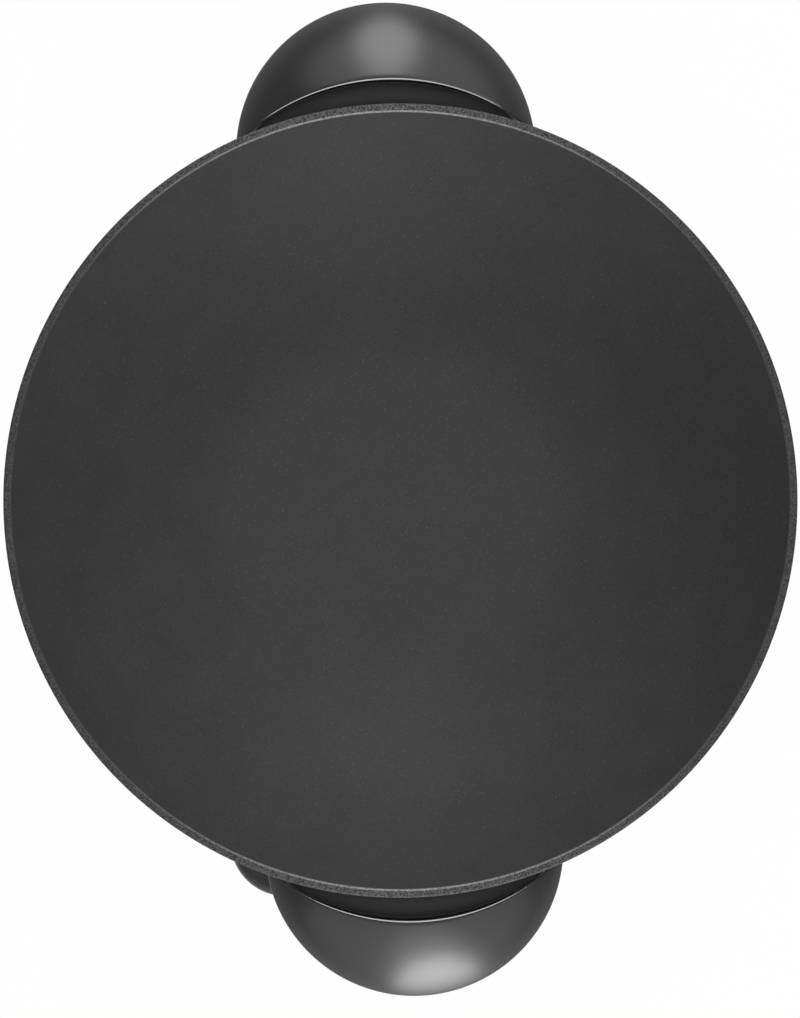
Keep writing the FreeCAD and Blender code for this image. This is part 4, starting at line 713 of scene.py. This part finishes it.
class WOK_OT_covers(WokOperator):
    """Lofts the two gloss covers: a domed crescent with a rolled edge along the thumb recess"""

    bl_idname = "wok.covers"
    bl_label = "Handle covers"

    def execute(self, context):
        form = context.scene.wok_form
        for end, side in (("front", -1), ("rear", 1)):
            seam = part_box(f"{end}_handle_grip")[1][2]
            cover = lofted(self.sections(form, seam, side))
            piece = finished(cover, f"{end}_cover_shell", "pan", "cover", "cover_black", 40)
            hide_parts(f"{end}_handle_cover")
        return {"FINISHED"}

    def sections(self, form, seam, side):
        """Upright sections through the axis of the handle's disc, from one horn to the other."""
        lobe, dome = form.lobe_radius, form.dome_radius
        disc = HANDLE_TIP - lobe
        dome_z = PAN_TOP - form.crown_drop - math.sqrt(dome**2 - form.recess_out**2)
        offset = form.recess_radius - form.recess_out

        def recess(turn):
            """Disc's axis to the recess wall."""
            run = offset * math.cos(turn)
            return math.sqrt(form.recess_radius**2 - run**2) - offset * math.sin(turn)

        def edge_slope(turn):
            """Slope of the polished edge in its section, by which it faces the overhead lamp."""
            out = recess(turn)
            across, along = out * math.cos(turn), out * math.sin(turn)
            fall = across - along * across / (along + offset)
            return math.cos(turn) * fall / math.sqrt(dome**2 - out**2) - EDGE_LEAN * math.sin(turn)

        horn, horn_width = 0.0, 0.6 * MM
        while recess(horn) > lobe - horn_width:
            horn += math.radians(0.1)
        count = 72
        made = []
        for i in range(count + 1):
            turn = horn + (math.pi - 2 * horn) * i / count
            profile = self.profile(form, seam, dome_z, recess(turn), edge_slope(turn))
            x, y = math.cos(turn), math.sin(turn)
            made.append([(r * x, side * (disc + r * y), z) for r, z in profile])
        return made

    def profile(self, form, seam, dome_z, inner, slope):
        """Up the recess wall, over the polished edge and the dome, down the side, back inside."""
        outer, dome = form.lobe_radius, form.dome_radius
        edge = min(form.recess_edge, (outer - inner) * 0.3)
        soft = min(form.cover_edge, (outer - inner) * 0.5)
        nose = edge * 0.2
        start = inner + edge * 0.6
        start_z = dome_z + math.sqrt(dome**2 - start**2)
        soft_r = outer - soft
        soft_z = dome_z + math.sqrt((dome - soft) ** 2 - soft_r**2)
        start_turn = math.degrees(math.atan2(start_z - dome_z, start))
        soft_turn = math.degrees(math.atan2(soft_z - dome_z, soft_r))
        points = [(inner, seam), (inner, (seam + start_z) / 2), (inner, start_z - edge)]
        points += arc(start - edge + nose, start_z + slope * (edge - nose) - nose, nose, 225, 90, 5)
        for share in (0.6, 0.4, 0.2):
            points.append((start - edge * share, start_z + slope * edge * share))
        points += arc(0, dome_z, dome, start_turn, soft_turn, 20)[:-1]
        points += arc(soft_r, soft_z, soft, soft_turn, 0, 6)
        points += [(outer, seam)]

        # The hollow under the dome, closed almost to nothing where a horn is under two walls thick.
        middle, gap = (outer + inner) / 2, max((outer - inner) / 2 - form.cover_wall, 0.02 * MM)
        under = dome - form.cover_wall
        points.append((middle + gap, seam))
        for share in (1, 0.6, 0.2, -0.2, -0.6, -1):
            r = middle + gap * share
            points.append((r, max(dome_z + math.sqrt(under**2 - r**2), seam + 0.05 * MM)))
        points.append((middle - gap, seam))
        return points


class WOK_OT_handles(WokOperator):
    """Dresses the frames, the grips and their screws"""

    bl_idname = "wok.handles"
    bl_label = "Frames and grips"

    def execute(self, context):
        for end in ("front", "rear"):
            carried(f"{end}_handle_frame", "frame", 0.3 * MM)
            carried(f"{end}_handle_grip", "grip", 0.5 * MM)
            carried(f"{end}_handle_bolts", "screw", 0.15 * MM)
            carried(f"{end}_grip_screws", "screw", 0.15 * MM)
        return {"FINISHED"}


class WOK_OT_stand(WokOperator):
    """Dresses the stand: shell, seat ring, heat shield and feet"""

    bl_idname = "wok.stand"
    bl_label = "Stand"

    def execute(self, context):
        carried("base_shell", "stand", 0.4 * MM)
        carried("seat_ring", "rubber", 0.3 * MM)
        carried("heat_shield", "shield", 0.2 * MM)
        carried("shield_screws", "screw", 0.15 * MM)
        carried("rubber_feet", "rubber", 0.3 * MM)
        return {"FINISHED"}


class WOK_OT_control(WokOperator):
    """Dresses the plug-in control's housing and what shows of its inside"""

    bl_idname = "wok.control"
    bl_label = "Control"

    def execute(self, context):
        for node in ("control_upper", "control_lower"):
            carried(node, "housing")
        carried("control_nose", "nose")
        carried("contact_sockets", "brass", 0.0)
        carried("sensor_rod", "steel", 0.0)
        carried("thermostat_frame", "steel", 0.15 * MM)
        carried("contact_leaf", "brass", 0.0)
        carried("control_screws", "screw", 0.15 * MM)
        carried("cord_gland", "housing", 0.3 * MM)
        carried("lamp_lens", "lens", 0.15 * MM)
        return {"FINISHED"}


class WOK_OT_trigger(WokOperator):
    """Dresses the release lever, its pin and its leaf spring"""

    bl_idname = "wok.trigger"
    bl_label = "Release lever"

    def execute(self, context):
        carried("release_trigger", "trigger")
        carried("trigger_pin", "steel", 0.15 * MM)
        carried("trigger_spring", "steel", 0.05 * MM)
        return {"FINISHED"}


class WOK_OT_dial(WokOperator):
    """Dresses the dial, puts numbers and marks round its top and a pointer on the housing"""

    bl_idname = "wok.dial"
    bl_label = "Dial"

    def execute(self, context):
        form = context.scene.wok_form
        carried("dial_knob", "dial", 0.3 * MM)
        carried("dial_spindle", "steel", 0.1 * MM)
        turning = JOINTS["dial_turn"]
        middle = Vector((*turning["pos_m"][:2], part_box("dial_knob")[1][2]))
        last = 10
        step = math.radians(turning["range_deg"][1]) / last
        figures, marks, pointer = bmesh.new(), bmesh.new(), bmesh.new()
        for number in range(last + 1):
            spot = self.spot(middle, step * number, form.figures_out)
            self.write(figures, str(number), form.figure_height, spot)
        for half in range(2 * last + 1):
            reach = 0.7 * MM if half % 2 else 1.1 * MM
            spot = self.spot(middle, step * half / 2, form.marks_out)
            self.stamp(marks, oblong(0.2 * MM, -reach, reach), spot)
        triangle = [(-1.5 * MM, -1.5 * MM), (1.5 * MM, -1.5 * MM), (0, 1.7 * MM)]
        place = Vector((*middle[:2], form.pointer_level)) + OUTWARD * form.pointer_out
        self.stamp(pointer, triangle, standing(ACROSS, UP, OUTWARD, place))
        finished(figures, "dial_figures", "dial", "figures", None)
        finished(marks, "dial_marks", "dial", "figures", None)
        finished(pointer, "dial_pointer", "control", "figures", None)
        return {"FINISHED"}

    def spot(self, middle, turn, out):
        """A place on the dial's crowned top, its own up towards the dial's middle."""
        away = Matrix.Rotation(turn, 3, "Z") @ OUTWARD
        slope = out / CAP_RADIUS
        inward = UP * math.sin(slope) - away * math.cos(slope)
        normal = UP * math.cos(slope) + away * math.sin(slope)
        place = middle + away * out - UP * (out * out / (2 * CAP_RADIUS))
        return standing(inward.cross(normal), inward, normal, place)

    def write(self, bm, words, height, matrix):
        """Adds a raised number."""
        curve = bpy.data.curves.new("figure", "FONT")
        curve.body, curve.size, curve.extrude = words, height, RAISED
        curve.align_x = curve.align_y = "CENTER"
        curve.resolution_u = 4
        writer = bpy.data.objects.new("figure", curve)
        mesh = bpy.data.meshes.new_from_object(writer)
        mesh.transform(matrix)
        bm.from_mesh(mesh)
        bmesh.ops.remove_doubles(bm, verts=bm.verts, dist=1e-6)
        bpy.data.objects.remove(writer)
        bpy.data.meshes.remove(mesh)

    def stamp(self, bm, outline, matrix):
        """Adds a raised mark."""
        mark = block(outline, -RAISED, RAISED, matrix)
        mesh = bpy.data.meshes.new("mark")
        mark.to_mesh(mesh)
        mark.free()
        bm.from_mesh(mesh)
        bpy.data.meshes.remove(mesh)


AIR_LIGHT = 0.15  # strength of the even light from all round
FLOOR_RADIUS = 4.0
FLOOR_SHADE = 0.98  # how bright the floor looks to the camera and in mirrors; 1 is white
CAMERA_PLACE, CAMERA_AIM = Vector((-0.0197, 0.0222, 1.755)), Vector((-0.0006, -0.0035, 0.155))
CAMERA_ROLL, CAMERA_LENS = 0.041, 157.2
LAMP_AIM, LAMP_DISTANCE = Vector((0, 0, 0.14)), 2.4

# Each softbox: name, shape, turn about the vertical, tilt from overhead, half width and half
# height as the pan sees them, all in degrees, and brightness. The covers' polished edges mirror
# the long overhead one.
SOFTBOXES = (
    ("overhead", "RECTANGLE", 90, 0, 60, 8, 3.4),
    ("rear_wash", "ELLIPSE", 74, 54, 50, 26, 0.9),
    ("rear_key", "ELLIPSE", 87, 67, 13, 20, 3.5),
    ("front_wash", "ELLIPSE", -88, 62, 55, 27, 0.78),
    ("front_fill", "ELLIPSE", -86, 67, 15, 15, 1.2),
    ("front_key", "ELLIPSE", -83, 89, 15, 18, 7.8),
)


class WOK_OT_studio(WokOperator):
    """Sets up the floor, the soft lights and the camera over the pan"""

    bl_idname = "wok.studio"
    bl_label = "Studio"

    def execute(self, context):
        self.floor()
        self.lights(context.scene)
        self.camera(context.scene)
        return {"FINISHED"}

    def floor(self):
        """A pale matt floor that looks plain white."""
        bm = bmesh.new()
        bmesh.ops.create_circle(bm, cap_ends=True, segments=96, radius=FLOOR_RADIUS)
        mesh = bpy.data.meshes.new("floor")
        bm.to_mesh(mesh)
        bm.free()
        floor = bpy.data.objects.new("floor", mesh)
        bpy.context.scene.collection.objects.link(floor)
        made = Finish("floor_white", Roughness=0.9)
        drift = made.noise(0.4, 2.0)
        made.set(Base_Color=made.blend(drift, (0.80, 0.80, 0.80), (0.82, 0.82, 0.82)))
        rays = made.node("ShaderNodeLightPath").outputs
        seen = Val(made, rays["Is Camera Ray"]) + Val(made, rays["Is Glossy Ray"])
        seen = (seen + Val(made, rays["Is Transmission Ray"])).clipped() * FLOOR_SHADE
        glow = made.node("ShaderNodeEmission", None, {"Color": (1, 1, 1), "Strength": 1.0})
        inputs = {0: seen, 1: made.shader.outputs[0], 2: glow.outputs[0]}
        mix = made.node("ShaderNodeMixShader", None, inputs)
        made.tree.links.new(mix.outputs[0], made.tree.nodes["Material Output"].inputs["Surface"])
        mesh.materials.append(made.material)

    def lights(self, scene):
        """A little even light from all round, and the softboxes."""
        world = bpy.data.worlds.new("studio_air")
        world.use_nodes = True
        air = world.node_tree.nodes["Background"].inputs
        air["Color"].default_value = (1, 1, 1, 1)
        air["Strength"].default_value = AIR_LIGHT
        scene.world = world
        for name, shape, turn, tilt, half_width, half_height, brightness in SOFTBOXES:
            turn, tilt = math.radians(turn), math.radians(tilt)
            along = math.sin(tilt)
            way = Vector((along * math.cos(turn), along * math.sin(turn), math.cos(tilt)))
            lamp = bpy.data.lights.new(name, "AREA")
            lamp.shape = shape
            lamp.size = 2 * LAMP_DISTANCE * math.tan(math.radians(half_width))
            lamp.size_y = 2 * LAMP_DISTANCE * math.tan(math.radians(half_height))
            area = lamp.size * lamp.size_y * (math.pi / 4 if shape == "ELLIPSE" else 1)
            lamp.energy = brightness * math.pi * area
            light = bpy.data.objects.new(name, lamp)
            light.location = LAMP_AIM + LAMP_DISTANCE * way
            light.rotation_euler = way.to_track_quat("Z", "Y").to_euler()
            scene.collection.objects.link(light)

    def camera(self, scene):
        """Looks almost straight down on the pan."""
        back = (CAMERA_PLACE - CAMERA_AIM).normalized()
        right = Vector((math.sin(CAMERA_ROLL), math.cos(CAMERA_ROLL), 0)).cross(back).normalized()
        lens = bpy.data.cameras.new("camera")
        lens.sensor_fit = "HORIZONTAL"
        lens.sensor_width = 36
        lens.lens = CAMERA_LENS
        lens.clip_end = 20
        camera = bpy.data.objects.new("camera", lens)
        camera.matrix_world = standing(right, back.cross(right), back, CAMERA_PLACE)
        scene.collection.objects.link(camera)
        scene.camera = camera
        scene.view_settings.view_transform = "Standard"


class WOK_PT_steps(bpy.types.Panel):
    """Lists the steps in the 3D view's sidebar"""

    bl_idname = "WOK_PT_steps"
    bl_label = "Electric wok"
    bl_space_type = "VIEW_3D"
    bl_region_type = "UI"
    bl_category = "Wok"

    def draw(self, context):
        scene = context.scene
        for step in STEPS:
            self.layout.operator(step.bl_idname)
        for group in (scene.wok_form, scene.wok_finish):
            box = self.layout.box()
            for key in group.bl_rna.properties.keys():
                if key not in ("rna_type", "name"):
                    box.prop(group, key)


STEPS = (
    WOK_OT_materials,
    WOK_OT_pan,
    WOK_OT_castings,
    WOK_OT_element,
    WOK_OT_covers,
    WOK_OT_handles,
    WOK_OT_stand,
    WOK_OT_control,
    WOK_OT_trigger,
    WOK_OT_dial,
    WOK_OT_studio,
)
CLASSES = (WokForm, WokFinish, *STEPS, WOK_PT_steps)


def register():
    for each in CLASSES:
        bpy.utils.register_class(each)
    bpy.types.Scene.wok_form = bpy.props.PointerProperty(type=WokForm)
    bpy.types.Scene.wok_finish = bpy.props.PointerProperty(type=WokFinish)


def unregister():
    del bpy.types.Scene.wok_finish
    del bpy.types.Scene.wok_form
    for each in reversed(CLASSES):
        bpy.utils.unregister_class(each)


def main():
    register()
    for step in STEPS:
        group, name = step.bl_idname.split(".")
        getattr(getattr(bpy.ops, group), name)()


if __name__ == "__main__":
    main()
